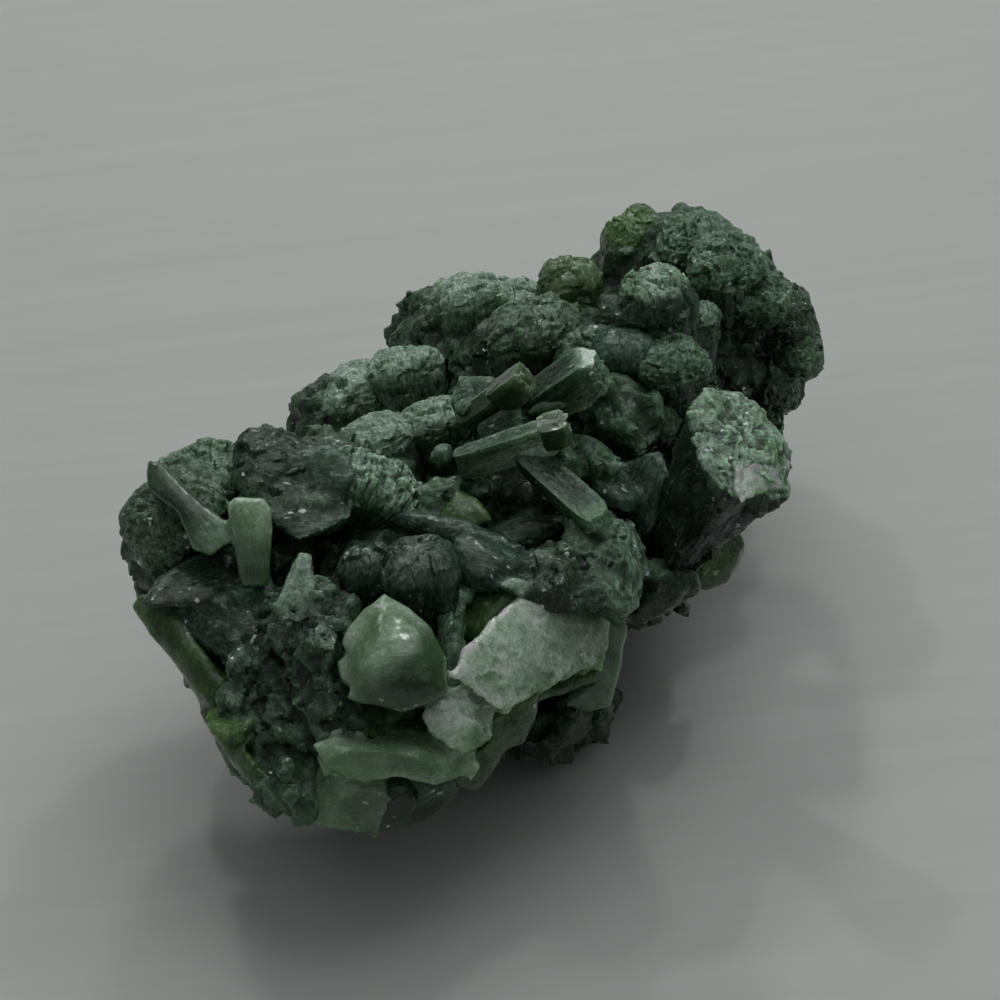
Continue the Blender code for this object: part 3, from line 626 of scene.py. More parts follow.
def field_of(items, label, kind, width=1):
    """One field of a mesh's points, edges or layer, as an array with this many numbers to a row."""
    values = np.zeros(len(items) * width, kind)
    items.foreach_get(label, values)
    return values.reshape(-1, width) if width > 1 else values


def neighbour_mean(values, ends, count):
    """The mean of each point's neighbours, along the edges with these ends."""
    total = np.zeros_like(values)
    np.add.at(total, ends[:, 0], values[ends[:, 1]])
    np.add.at(total, ends[:, 1], values[ends[:, 0]])
    return total / (count[:, None] if values.ndim > 1 else count)


def plain_mesh(shells, name, material):
    """One mesh of all the shells, with their attributes."""
    points = np.concatenate([s.points for s in shells])
    faces = []
    start = 0
    for shell in shells:
        faces.extend([tuple(i + start for i in f) for f in shell.faces])
        start += len(shell.points)
    mesh = bpy.data.meshes.new(name)
    mesh.from_pydata(points.tolist(), [], faces)
    for label, (kind, field, width) in FIELDS.items():
        values = np.concatenate([getattr(s, label) for s in shells])
        if label == "tint":
            values = np.concatenate([values, np.ones((len(values), 1))], axis=1)
        layer = mesh.attributes.new(label, kind, "POINT")
        layer.data.foreach_set(field, values.astype(np.float32).ravel())
    mesh.materials.append(material)
    mesh.update(calc_edges=True)
    mesh.shade_smooth()
    mesh.set_sharp_from_angle(angle=SHARP_ANGLE)
    return mesh


def ridge_shares(mesh, points):
    """How far each point stands out of its neighbours, from -1 in a cleft to 1 on a ridge."""
    ends = field_of(mesh.edges, "vertices", np.int32, 2)
    normals = field_of(mesh.vertex_normals, "vector", np.float32, 3)
    count = np.bincount(ends.ravel(), minlength=len(points)).clip(1)
    reach = neighbour_mean(points, ends, count)
    for _ in range(RIDGE_SPREAD):
        reach = neighbour_mean(reach, ends, count)
    height = np.einsum("ij,ij->i", points - reach, normals) / MM
    height = (height + neighbour_mean(height, ends, count)) / 2
    return np.clip(height / RIDGE_HEIGHT, -1, 1)


def with_ridge_highlight_and_cleft_shade(mesh):
    """Paints highlight on ridges by lightening the tint, more where it is frosted, and paints shade in
    clefts by darkening it.
    """
    points = field_of(mesh.vertices, "co", np.float32, 3)
    frost = field_of(mesh.attributes["frost"].data, "value", np.float32)
    share = ridge_shares(mesh, points.astype(float)) * np.clip(1.6 * frost - 0.2, 0, 1)
    layer = mesh.attributes["tint"].data
    tint = field_of(layer, "color", np.float32, 4)
    # Painted highlight on ridges and painted shade in clefts
    factor = 1 + RIDGE_HIGHLIGHT * share.clip(0, 1) - CLEFT_SHADE * (-share).clip(0, 1)
    tint[:, :3] *= factor[:, None]
    layer.foreach_set("color", tint.ravel())


def mesh_shell(mesh):
    """The shell that a mesh with the three attributes holds."""
    tint, grain, frost = (field_of(mesh.attributes[label].data, field, np.float32, width)
                          for label, (_, field, width) in FIELDS.items())
    faces = [tuple(p.vertices) for p in mesh.polygons]
    return Shell(field_of(mesh.vertices, "co", np.float32, 3), faces, tint[:, :3], grain, frost)


def rested(shell):
    """The shell cut off flat at the resting plane and closed there, or None if it lies below it."""
    lowest = shell.points[:, 2].min()
    if lowest >= 0:
        return shell
    if shell.points[:, 2].max() <= 0:
        return None
    mesh = plain_mesh([shell], "cut", None)
    cut = bmesh.new()
    cut.from_mesh(mesh)
    bmesh.ops.bisect_plane(cut, geom=cut.verts[:] + cut.edges[:] + cut.faces[:], dist=1e-7,
                           plane_co=(0, 0, 0), plane_no=(0, 0, 1), clear_inner=True)
    rim = [e for e in cut.edges if e.is_boundary]
    bmesh.ops.holes_fill(cut, edges=rim, sides=0)
    bmesh.ops.triangulate(cut, faces=[f for f in cut.faces if len(f.verts) > 4])
    cut.to_mesh(mesh)
    cut.free()
    return mesh_shell(mesh)


# Slabs

def resampled(outline, step):
    """Points round an outline at about this step, with every corner kept."""
    points = []
    for start, end in zip(outline, outline[1:] + outline[:1]):
        start, end = Vector(start), Vector(end)
        count = max(1, round((end - start).length / step))
        points.extend(start.lerp(end, i / count) for i in range(count))
    return points


def softened(ring):
    """The ring with its corners rounded off, at the same mean reach."""
    window = max(3, len(ring) // 4)
    padded = np.concatenate([ring[-window:], ring, ring[:window]])
    smooth = np.stack([np.convolve(padded[:, k], np.ones(window) / window, "same") for k in (0, 1)], axis=1)
    smooth = smooth[window:-window]
    reach = np.linalg.norm(ring, axis=1).mean() / np.linalg.norm(smooth, axis=1).mean()
    return smooth * reach


def row_profile(thick, dome):
    """Rows from the front's middle over the rim to the back's middle: share of the outline, and depth."""
    front = (0.08, 0.17, 0.26, 0.35, 0.44, 0.53, 0.62, 0.70, 0.77, 0.83, 0.88, 0.92, 0.95)
    rows = [(share, -0.14 * thick - dome * thick * (1 - (share / 0.95) ** 2)) for share in front]
    rows += [(0.95 + 0.05 * t, thick * (-0.14 + 0.06 * t * t)) for t in (0.5, 1.0)]
    side = (0.05, 0.1, 0.16, 0.23, 0.31, 0.4, 0.52, 0.7, 1.0)
    rows += [(1.0 - 0.16 * t, thick * (-0.08 + 1.08 * t)) for t in side]
    rows += [(share, thick) for share in (0.5, 0.2)]
    return rows


def grain_axes(outline):
    """Unit directions along and across an outline's longest way, in steps of the view."""
    points = np.array(outline, float)
    points -= points.mean(0)
    _, _, axes = np.linalg.svd(points)
    return axes[0], axes[1]


def slab_shell(name, outline, depth, lean, thick, look):
    """A block of crystal with striae, grains and ledges on its faces and chipped edges."""
    middle = np.array(outline, float).mean(0)
    ring = np.array([p[:] for p in resampled(outline, SKIN_STEP / VIEW_STEP)])
    ring = middle + (ring - middle) * SLAB_GROWTH
    rows = row_profile(thick, LOOKS[look].dome)
    chance = random.Random(name)
    tilt = (chance.uniform(-2.5, 2.5), chance.uniform(-2.5, 1.5))
    points = []
    rims = []
    soft = softened(ring - middle)
    for share, shift in rows:
        corners = min(1.0, 1.3 * share ** 2.5)
        for x, y in middle + ((ring - middle) * corners + soft * (1 - corners)) * share:
            slope = (lean[0] + tilt[0]) * (x - middle[0]) / 100 + (lean[1] + tilt[1]) * (y - middle[1]) / 100
            points.append(sighted(x, y, depth + slope + shift))
            rims.append(share)
    around = len(ring)
    faces = ring_faces(len(rows), around)
    ends = ((0, -(0.14 + LOOKS[look].dome) * thick), (len(rows) - 1, thick))
    for row, shift in ends:
        tip = len(points)
        points.append(sighted(middle[0], middle[1], depth + shift))
        rims.append(0.0)
        faces.extend(closing_faces(row, around, tip))
    points = np.array([p[:] for p in points])
    rims = np.array(rims)
    along, across = grain_axes(outline)
    axes = slab_axes(along, across)
    grain = points / MM @ axes.T
    kind = LOOKS[look]
    if kind.finish != "clear":
        points = faceted(points, name)
    points = weathered(points, faces, grain, rims, kind, name)
    tint = slab_tint(points, rims, kind, name) * root_shade(points, name)
    frost = np.full(len(points), kind.frost)
    return Shell(points, faces, tint, grain, frost, axes)


def closing_faces(row, around, tip):
    """Faces from one row of points to the single point that closes it."""
    base = row * around
    return [(base + i, base + (i + 1) % around, tip) for i in range(around)]


def ring_faces(rows, around):
    """Faces between neighbouring rows of points."""
    faces = []
    for row in range(rows - 1):
        lower = row * around
        upper = lower + around
        for i in range(around):
            j = (i + 1) % around
            faces.append((lower + i, lower + j, upper + j, upper + i))
    return faces


def slab_axes(along, across):
    """Unit directions across, through and along the crystal."""
    direction = np.array(ACROSS) * along[0] - np.array(ABOVE) * along[1]
    side = np.array(ACROSS) * across[0] - np.array(ABOVE) * across[1]
    return np.stack([side, np.array(AHEAD), direction])


def faceted(points, name):
    """The points cut back to a few flat planes round the front, as a crystal's faces are."""
    chance = random.Random(name)
    middle = points.mean(0)
    for i in range(5):
        turn = 2 * math.pi * (i + chance.uniform(-0.3, 0.3)) / 5
        lift = chance.uniform(0.5, 2.0)
        normal = np.array((ACROSS * math.cos(turn) + ABOVE * math.sin(turn) - AHEAD * lift).normalized())
        heights = (points - middle) @ normal
        limit = heights.max() * chance.uniform(0.82, 1.0)
        points = points - np.maximum(0, heights - limit)[:, None] * normal
    return points


def normals_of(points, faces):
    """The normal at each point of these faces."""
    mesh = bpy.data.meshes.new("normals")
    mesh.from_pydata(points.tolist(), [], faces)
    mesh.update()
    values = field_of(mesh.vertex_normals, "vector", np.float32, 3)
    bpy.data.meshes.remove(mesh)
    return values


def block_step(spot, size):
    """Height of a spot on a mosaic of tilted blocks of about this size, from about -0.6 to 0.6."""
    nearest = noise.voronoi(spot / size, distance_metric="CHEBYCHEV")[1][0]
    tilt = noise.noise_vector(nearest * 5.3)
    return 0.9 * (noise.noise(nearest * 9.1)) + 1.1 * (spot / size - nearest).dot(tilt)


def weathered(points, faces, grain, rims, kind, name):
    """The points moved in and out by striae, grains, blocks, ledges and chips."""
    normals = normals_of(points, faces)
    outward = points - points.mean(0)
    if np.einsum("ij,ij->i", normals, outward).sum() < 0:
        normals = -normals
    shift = Vector((len(name) * 7.0, 0, 0))
    moves = []
    for place, row, rim in zip(points / MM, grain, rims):
        spot = Vector(place) + shift
        fibre = Vector((row[0] * 1.9, row[1] * 1.9, row[2] * 0.22)) + shift
        striae = noise.noise(fibre) + 0.5 * noise.noise(fibre * 2.1)
        grains = noise.noise(spot * 1.4) + 0.6 * noise.noise(spot * 3.1)
        ledge = math.floor(2.6 * noise.noise(spot * 0.42)) / 2.6
        edge = max(0.0, 1.0 - abs(rim - 0.93) / 0.15)
        chip = max(0.0, noise.cell(spot * 1.3) - 0.45) * edge
        blocks = 8.0 * (kind.grains - 0.03) * block_step(spot, BLOCK_SIZE)
        move = kind.striae * striae + kind.grains * grains + 0.10 * ledge - 0.25 * chip + blocks
        moves.append(move * min(1.0, rim / 0.3))
    return points + normals * (np.array(moves)[:, None] * MM)


def root_shade(points, name):
    """Painted shade towards a slab's root: 1 at its free end, deep green at its root."""
    if name not in ROOT_SHADES:
        return np.ones((len(points), 3))
    across, down, reach, depth = ROOT_SHADES[name]
    toward_root = np.array(ACROSS) * across - np.array(ABOVE) * down
    flat = (points - points.mean(0)) @ toward_root
    share = np.clip((flat / flat.max() - 1 + 2 * reach) / (0.9 * reach), 0, 1)
    share = depth * share * share * (3 - 2 * share)
    return 1 - share[:, None] * (1 - np.array(ROOT_SHADE_TINT))


def slab_tint(points, rims, kind, name):
    """Body colour in the middle of the faces, tip colour at the thin rims as painted light shining through
    them, with broad patches.
    """
    shift = Vector((0, len(name) * 5.0, 0))
    patches = np.array([noise.noise(Vector(p) * 0.5 + shift) for p in points / MM])
    # Tip colour at the thin rims is painted light shining through them
    share = np.clip(0.35 + 0.80 * patches + 0.55 * np.clip((rims - 0.80) / 0.18, 0, 1), 0, 1)
    return np.array(kind.body) * (1 - share[:, None]) + np.array(kind.tip) * share[:, None]


# Trees

def new_tree(name, kinds):
    """What adds nodes to a new tree with these inputs, and the inputs as wires."""
    tree = bpy.data.node_groups.new(name, "GeometryNodeTree")
    for label, kind in kinds.items():
        tree.interface.new_socket(label, in_out="INPUT", socket_type=f"NodeSocket{kind}")
    tree.interface.new_socket("Geometry", in_out="OUTPUT", socket_type="NodeSocketGeometry")
    nodes = Nodes(tree)
    source = tree.nodes.new("NodeGroupInput")
    return nodes, {label: Wire(nodes, source.outputs[label]) for label in kinds}


def stored(nodes, shape, layers):
    """The shape with these named fields of its points."""
    for label, value in layers.items():
        shape = nodes.add("GeometryNodeStoreNamedAttribute",
                          {"data_type": FIELDS[label][0], "domain": "POINT"},
                          {"Geometry": shape, "Name": label, "Value": value})
    return shape


def ended(nodes, shape, finish):
    """The tree, which gives back this shape in this finish."""
    shape = nodes.add("GeometryNodeSetMaterial", None, {"Geometry": shape, "Material": finish})
    output = nodes.tree.nodes.new("NodeGroupOutput")
    nodes.tree.links.new(shape.socket, output.inputs[0])
    return nodes.tree


# Fans

def fan_tree():
    """Plates stacked at the foot and spread at the tip, uneven in reach and width."""
    nodes, given = new_tree("crystal_fan", {
        "Foot": "Vector", "Outward": "Vector", "Across": "Vector", "Through": "Vector",
        "Length": "Float", "Width": "Float", "Thickness": "Float", "Spread": "Float",
        "Waist": "Float", "Corner": "Float", "Dome": "Float", "Ragged": "Float", "Crumple": "Float",
        "Pinch": "Float", "Pale From": "Float", "Plates": "Int", "Sides": "Int", "Cap Rings": "Int",
        "Seed": "Int", "Body": "Color", "Tip": "Color", "Frost": "Float", "Finish": "Material"})

    rows = given["Plates"] * 2 - 1
    cylinder = nodes.add("GeometryNodeMeshCylinder", {"fill_type": "TRIANGLE_FAN"},
                         {"Vertices": given["Sides"], "Side Segments": rows,
                          "Fill Segments": given["Cap Rings"], "Radius": 1.0, "Depth": 1.0})
    x, y, z = nodes.split(nodes.add("GeometryNodeInputPosition"))
    angle = nodes.math("ARCTAN2", y, x)
    angle = angle - 0.6 * nodes.math("SINE", angle)
    radius = nodes.math("MINIMUM", nodes.math("SQRT", x * x + y * y), 1.0)
    row = nodes.math("ROUND", (z + 0.5) * rows)
    plate = nodes.math("FLOOR", row / 2 + 0.01)
    edge = row - plate * 2

    def per_plate(seed_shift):
        return nodes.add("FunctionNodeRandomValue", {"data_type": "FLOAT"},
                         {2: 0.0, 3: 1.0, 7: plate, 8: given["Seed"] + seed_shift}, 1)

    uneven = (per_plate(1) - 0.5) * 0.5 * (1 - edge)
    place = (plate + edge + uneven) / given["Plates"] - 0.5
    at_edge = place + given["Pinch"] * (0.5 - edge) / given["Plates"]

    def rounded(wave):
        return nodes.math("ABSOLUTE", wave) ** (2.0 / given["Corner"]) * nodes.math("SIGN", wave)

    along = 0.5 + 0.5 * radius * rounded(nodes.math("COSINE", angle))
    across = 0.5 * radius * rounded(nodes.math("SINE", angle))
    seed = given["Seed"] * 3.7
    wide_mm = across * given["Width"] / MM
    arc_mm = at_edge * (given["Length"] * given["Spread"] + given["Thickness"]) / MM
    long_mm = along * given["Length"] / MM
    crest = nodes.noise(nodes.joined(wide_mm * 0.35 + seed, arc_mm * 0.45, seed), 1.0, 2.0, 0.5) - 0.5
    blocks = nodes.add("ShaderNodeTexVoronoi", {"feature": "F1"},
                       {"Vector": nodes.joined(wide_mm, arc_mm * 1.3 + seed, long_mm * 0.5), "Scale": 1.5},
                       "Color")
    block, small_block, _ = nodes.split(blocks)
    bowed = 1 - given["Dome"] * (2 * place) ** 2
    near_tip = nodes.between(along, 0.45, 1.0)
    broken = given["Crumple"] * MM * (1.1 * crest + 0.55 * (block - 0.5))
    reach = given["Length"] * (bowed - given["Ragged"] * per_plate(2)) + near_tip * broken
    width = given["Width"] * (1.0 - given["Ragged"] * per_plate(3)) + given["Crumple"] * MM * 0.9 * crest
    turn = given["Spread"] * at_edge
    ray = nodes.vector("ADD", nodes.stretched(given["Outward"], nodes.math("COSINE", turn)),
                       nodes.stretched(given["Through"], nodes.math("SINE", turn)))
    start = nodes.vector("ADD", given["Foot"],
                         nodes.stretched(given["Through"], given["Thickness"] * at_edge))
    taper = given["Waist"] + (1 - given["Waist"]) * along
    spot = nodes.vector("ADD", start, nodes.stretched(ray, reach * along))
    spot = nodes.vector("ADD", spot, nodes.stretched(given["Across"], width * across * taper))

    # Body colour at the foot as painted shade; tip colour toward the tip and on the plates' thin edges,
    # partly as painted light through them
    share = nodes.between(along, given["Pale From"], 1.0) + 0.30 * (per_plate(4) - 0.55) + 0.8 * crest
    share = (share + 0.5 * near_tip * (block - 0.5)) * nodes.between(radius, 0.55, 1.0)
    share = nodes.clamped(share)
    tint = nodes.blend(share, given["Body"], given["Tip"])
    grain = nodes.joined(wide_mm, arc_mm, long_mm)
    frost = nodes.clamped(given["Frost"] * (0.35 + 0.65 * nodes.between(along, 0.4, 0.95)))

    shape = stored(nodes, cylinder, {"tint": tint, "grain": grain, "frost": frost})
    shape = nodes.add("GeometryNodeSetPosition", None, {"Geometry": shape, "Position": spot})
    place_mm = nodes.stretched(nodes.add("GeometryNodeInputPosition"), 1 / MM)
    bumps = nodes.noise(place_mm, 1.3, 2.0) - 0.5
    offset = nodes.stretched(nodes.add("GeometryNodeInputNormal"), bumps * 0.30 * MM)
    shape = nodes.add("GeometryNodeSetPosition", None, {"Geometry": shape, "Offset": offset})
    shape = nodes.add("GeometryNodeRealizeInstances", None, {"Geometry": shape})
    return ended(nodes, shape, given["Finish"])


def grown(tree, values, name="grown", host=None):
    """The plain mesh that a tree makes with these inputs, on a host mesh if it takes one."""
    holder = bpy.data.objects.new(name, host or bpy.data.meshes.new(name))
    bpy.context.scene.collection.objects.link(holder)
    modifier = holder.modifiers.new(name, "NODES")
    modifier.node_group = tree
    for item in tree.interface.items_tree:
        if item.in_out == "INPUT" and item.name in values:
            modifier[item.identifier] = values[item.name]
    bpy.context.view_layer.update()
    evaluated = holder.evaluated_get(bpy.context.evaluated_depsgraph_get())
    mesh = bpy.data.meshes.new_from_object(evaluated)
    holder.modifiers.remove(modifier)
    bpy.data.objects.remove(holder)
    return mesh


def fan_axes(foot, tip, turn):
    """Unit axes of a fan: outward, across its plates, and through their stack."""
    outward = (tip - foot).normalized()
    toward_viewer = -AHEAD
    across = (toward_viewer - outward * toward_viewer.dot(outward)).normalized()
    across = Matrix.Rotation(math.radians(turn), 3, outward) @ across
    return outward, across, outward.cross(across)


def fan_shell(tree, foot, tip, width, thick, spread, turn, look, seed, plate_gap, sides, **changes):
    """A fan, or a bar where the spread is small: its plates this far apart, with this many sides."""
    outward, across, through = fan_axes(foot, tip, turn)
    length = (tip - foot).length
    kind = LOOKS[look]
    arc = length / MM * math.radians(spread) + thick
    values = {
        "Foot": foot, "Outward": outward, "Across": across, "Through": through,
        "Length": length, "Width": width * MM, "Thickness": thick * MM, "Spread": math.radians(spread),
        "Waist": 0.45, "Corner": FAN_CORNER, "Dome": FAN_DOME, "Ragged": 0.015, "Crumple": 0.9,
        "Pinch": 0.14, "Pale From": 0.55, "Plates": max(3, round(arc / plate_gap)), "Sides": sides,
        "Cap Rings": 6, "Seed": seed,
        "Body": (*kind.body, 1.0), "Tip": (*kind.tip, 1.0), "Frost": kind.frost,
        "Finish": FINISHES[kind.finish],
    }
    values.update(changes)
    mesh = grown(tree, values)
    shell = mesh_shell(mesh)
    bpy.data.meshes.remove(mesh)
    return shell


# Sheaves

def sheaf_shell(foot, tip, breadths, waist, cap, turn, look, seed):
    """A sheaf of fibres that widens from its foot to a domed cap, with a mosaic of blocks on the cap."""
    outward, across, through = (np.array(axis) for axis in fan_axes(foot, tip, turn))
    length = (tip - foot).length / MM
    half = (breadths[0] / 2, breadths[1] / 2)
    rise = cap * min(half)
    kind = LOOKS[look]
    relief = SHEAF_RELIEF * min(1.0, (kind.grains - 0.02) / 0.06)
    rows = [(i / SHEAF_ROWS, waist + (1 - waist) * (i / SHEAF_ROWS) ** 1.2, 0.0) for i in range(SHEAF_ROWS)]
    for i in range(CAP_ROWS):
        slope = math.pi / 2 * i / CAP_ROWS
        rows.append((1.0, math.cos(slope) ** 0.8, math.sin(slope)))
    points, grain, shares = [], [], []
    shift = Vector((seed * 9.7, 0, 0))
    for share, size, lift in rows:
        for i in range(SHEAF_SIDES):
            angle = 2 * math.pi * i / SHEAF_SIDES
            wave = Vector((math.cos(angle), math.sin(angle), 0))
            square = (abs(wave.x) ** 2.6 + abs(wave.y) ** 2.6) ** (-1 / 2.6)
            bulge = square * size * (1 + 0.16 * noise.noise(wave * 1.4 + shift + Vector((0, 0, share))))
            offset = across * (half[0] * bulge * wave.x) + through * (half[1] * bulge * wave.y)
            height = length * share + rise * lift
            spot = Vector(offset + outward * height) + shift
            arc = wave * (half[0] * 2.6)
            fibre = Vector((arc.x, arc.y, height * 0.18)) + shift
            flat = (float(offset @ across), float(offset @ through))
            striae = noise.noise(fibre) + 0.5 * noise.noise(fibre * 2.3)
            on_cap = min(1.0, max(0.0, (share * (1 + lift) - 0.72) / 0.3))
            mosaic = 0.62 * block_step(spot, SHEAF_BLOCK) + 0.24 * block_step(spot * 1.3, SHEAF_BLOCK * 0.5)
            move = 0.09 * striae * (1.0 - on_cap) + 0.12 * noise.noise(spot * 1.2)
            move += mosaic * (0.25 + 0.75 * on_cap) * relief + 0.55 * block_step(spot, 3.4)
            radial = offset / max(np.linalg.norm(offset), 1e-6) * (1 - lift) + outward * lift
            points.append(np.array(foot) + (offset + outward * height + radial * move) * MM)
            grain.append((*flat, height))
            # Tip colour toward the cap; body colour lower down, as painted shade at the foot
            patch = 0.5 * noise.noise(spot * 0.5)
            shares.append((share * (1 + lift) - kind.pale_from) / 0.25 + patch)
    around = SHEAF_SIDES
    faces = ring_faces(len(rows), around)
    for row, height in ((0, 0.0), (len(rows) - 1, length + rise)):
        middle = len(points)
        points.append(np.array(foot) + outward * height * MM)
        grain.append((0.0, 0.0, height))
        shares.append(shares[row * around])
        faces.extend(closing_faces(row, around, middle))
    share = np.clip(shares, 0, 1)[:, None]
    tint = np.array(kind.body) * (1 - share) + np.array(kind.tip) * share
    frost = kind.frost * (0.3 + 0.7 * share[:, 0])
    return Shell(np.array(points), faces, tint, grain, frost)


# Fused masses

def fused(shells, voxel, material):
    """One mesh of shells grown together, with the tint, grain and frost of the nearest shell."""
    rough = plain_mesh(shells, "rough", material)
    holder = bpy.data.objects.new("fused", rough)
    bpy.context.scene.collection.objects.link(holder)
    modifier = holder.modifiers.new("fuse", "REMESH")
    modifier.mode = "VOXEL"
    modifier.voxel_size = voxel * MM
    evaluated = holder.evaluated_get(bpy.context.evaluated_depsgraph_get())
    mesh = bpy.data.meshes.new_from_object(evaluated)
    bpy.data.objects.remove(holder)
    points = field_of(mesh.vertices, "co", np.float32, 3).astype(float)
    ends = field_of(mesh.edges, "vertices", np.int32, 2)
    source = np.concatenate([s.points for s in shells])
    owner = np.repeat(np.arange(len(shells)), [len(s.points) for s in shells])
    tree = kdtree.KDTree(len(source))
    for i, place in enumerate(source):
        tree.insert(place, i)
    tree.balance()
    nearest = np.array([tree.find(place)[1] for place in points])
    tint = np.concatenate([s.tint for s in shells])[nearest]
    frost = np.concatenate([s.frost for s in shells])[nearest]
    axes = np.array([s.axes for s in shells])[owner[nearest]]
    grain = np.einsum("nij,nj->ni", axes, points / MM)
    points = evened(points, ends, FUSE_SMOOTHING)
    tint = evened(tint, ends, TINT_SMOOTHING)
    faces = [tuple(p.vertices) for p in mesh.polygons]
    coarse = evened(frost, ends, TINT_SMOOTHING)
    steps = [sum(height * block_step(Vector(p), size) for height, size in MOSAIC) for p in points / MM]
    depth = np.array(steps) * np.clip(1.9 * coarse - 0.35, 0.04, 1.0) * MM
    points = points + normals_of(points, faces) * depth[:, None]
    bpy.data.meshes.remove(mesh)
    bpy.data.meshes.remove(rough)
    return Shell(points, faces, tint, grain, frost)


def evened(values, ends, rounds):
    """Values at the points, each drawn halfway to the mean of its neighbours, this many times."""
    count = np.bincount(ends.ravel(), minlength=len(values)).clip(1)
    for _ in range(rounds):
        values = values + 0.5 * (neighbour_mean(values, ends, count) - values)
    return values


# Lumps

def lump_places():
    """Middle, half sizes, axes and crust of every lump and ground mass."""
    view_axes = Matrix((ACROSS, ABOVE, -AHEAD)).transposed()
    for middle, half_sizes, crust in LUMPS:
        yield sighted(*middle), half_sizes, view_axes, crust
    for middle, half_sizes in GROUND:
        yield on_stone(middle), half_sizes, Matrix.Identity(3), True


def even_directions(count):
    """Directions spread evenly over a ball, by the golden angle."""
    golden = math.pi * (3 - math.sqrt(5))
    for i in range(count):
        z = 1 - 2 * (i + 0.5) / count
        ring = math.sqrt(1 - z * z)
        yield Vector((ring * math.cos(golden * i), ring * math.sin(golden * i), z))


def hidden_fans():
    """Fans on the sides that the view doesn't reach, standing out of the lumps."""
    chance = random.Random(HIDDEN_SEED)
    for middle, half_sizes, axes, crust in lump_places():
        for direction in even_directions(HIDDEN_TRIES if crust else 0):
            jitter = Vector([chance.uniform(-0.2, 0.2) for _ in range(3)])
            outward = (direction + jitter).normalized()
            turn = chance.uniform(0, 180)
            size = chance.uniform(0.8, 1.15)
            if outward.dot(AHEAD) < HIDDEN_FACING or outward.z < -0.8:
                continue
            reach = axes @ Vector(a * b for a, b in zip(axes.transposed() @ outward, half_sizes)) * MM
            yield middle + reach * 0.35, middle + reach * 1.18, 9 * size, 3, 44, turn


def lump_shell(middle, half_sizes, axes, seed):
    """A lump of small grains, rough all over."""
    ball = bmesh.new()
    bmesh.ops.create_icosphere(ball, subdivisions=LUMP_DETAIL, radius=1.0)
    bmesh.ops.recalc_face_normals(ball, faces=ball.faces[:])
    points = []
    for vert in ball.verts:
        dent = 1.0 + 0.16 * noise.noise(vert.co * 1.7 + Vector((seed, 0, 0)))
        spot = Vector(a * b for a, b in zip(vert.co * dent, half_sizes))
        grains = 0.4 * noise.noise(spot * 0.7) + LUMP_BLOCK_HEIGHT * block_step(spot, LUMP_BLOCK_SIZE)
        spot += vert.co * (grains + 0.15 * noise.noise(spot * 1.9) - 0.5)
        points.append(middle + axes @ spot * MM)
    faces = [tuple(v.index for v in f.verts) for f in ball.faces]
    ball.free()
    points = np.array([p[:] for p in points])
    kind = LOOKS["dark"]
    share = np.array([0.5 + 0.6 * noise.noise(Vector(p) * 0.6) for p in points / MM]).clip(0, 1)[:, None]
    tint = np.array(kind.body) * (1 - share) + np.array(kind.tip) * share
    return Shell(points, faces, tint, points / MM, np.full(len(points), 0.7))


# Crumbs

def crumb_tree():
    """Small blocks of crystal strewn over a host mesh, coloured like the places they sit on."""
    nodes, given = new_tree("crystal_crumbs", {"Geometry": "Geometry", "Density": "Float", "Size": "Float",
                                               "Seed": "Int", "Finish": "Material"})
    places = nodes.add("GeometryNodeDistributePointsOnFaces", None,
                       {"Mesh": given["Geometry"], "Density": given["Density"], "Seed": given["Seed"]})
    normal, rotation = (Wire(nodes, places.socket.node.outputs[key]) for key in ("Normal", "Rotation"))
    block = nodes.add("GeometryNodeMeshCube", None,
                      {"Size": (0.8, 1.0, 1.5), "Vertices X": 3, "Vertices Y": 3, "Vertices Z": 3})

    def chance(shift, low, high):
        return nodes.add("FunctionNodeRandomValue", {"data_type": "FLOAT"},
                         {2: low, 3: high, 8: given["Seed"] + shift}, 1)

    size = given["Size"] * chance(1, 0.4, 1.0)
    sunk = nodes.stretched(normal, given["Size"] * -0.38)
    seats = nodes.add("GeometryNodeSetPosition", None, {"Geometry": places, "Offset": sunk})
    stretch = nodes.joined(size * chance(2, 0.6, 1.2), size * chance(3, 0.6, 1.2),
                           size * chance(4, 0.7, 1.3))
    blocks = nodes.add("GeometryNodeInstanceOnPoints", None,
                       {"Points": seats, "Instance": block, "Rotation": rotation, "Scale": stretch})
    spin = nodes.joined(chance(5, -0.35, 0.35), chance(6, -0.35, 0.35), chance(7, -3.1, 3.1))
    blocks = nodes.add("GeometryNodeRotateInstances", None, {"Instances": blocks, "Rotation": spin})
    blocks = nodes.add("GeometryNodeStoreNamedAttribute", {"data_type": "FLOAT", "domain": "INSTANCE"},
                       {"Geometry": blocks, "Name": "paleness", "Value": chance(8, 0.6, 1.5)})
    blocks = nodes.add("GeometryNodeRealizeInstances", None, {"Geometry": blocks})
    place_mm = nodes.stretched(nodes.add("GeometryNodeInputPosition"), 1 / MM)
    bend = nodes.vector("SUBTRACT", nodes.add("ShaderNodeTexNoise", None,
                        {"Vector": place_mm, "Scale": 0.9, "Detail": 2.0}, "Color"), (0.5, 0.5, 0.5))
    blocks = nodes.add("GeometryNodeSetPosition", None, {"Geometry": blocks,
                       "Offset": nodes.stretched(bend, given["Size"] * 0.9)})
    tint = nodes.add("GeometryNodeInputNamedAttribute", {"data_type": "FLOAT_COLOR"}, {"Name": "tint"})
    paleness = nodes.add("GeometryNodeInputNamedAttribute", {"data_type": "FLOAT"}, {"Name": "paleness"})
    blocks = stored(nodes, blocks, {"tint": nodes.stretched(tint, paleness), "grain": place_mm})
    return ended(nodes, blocks, given["Finish"])


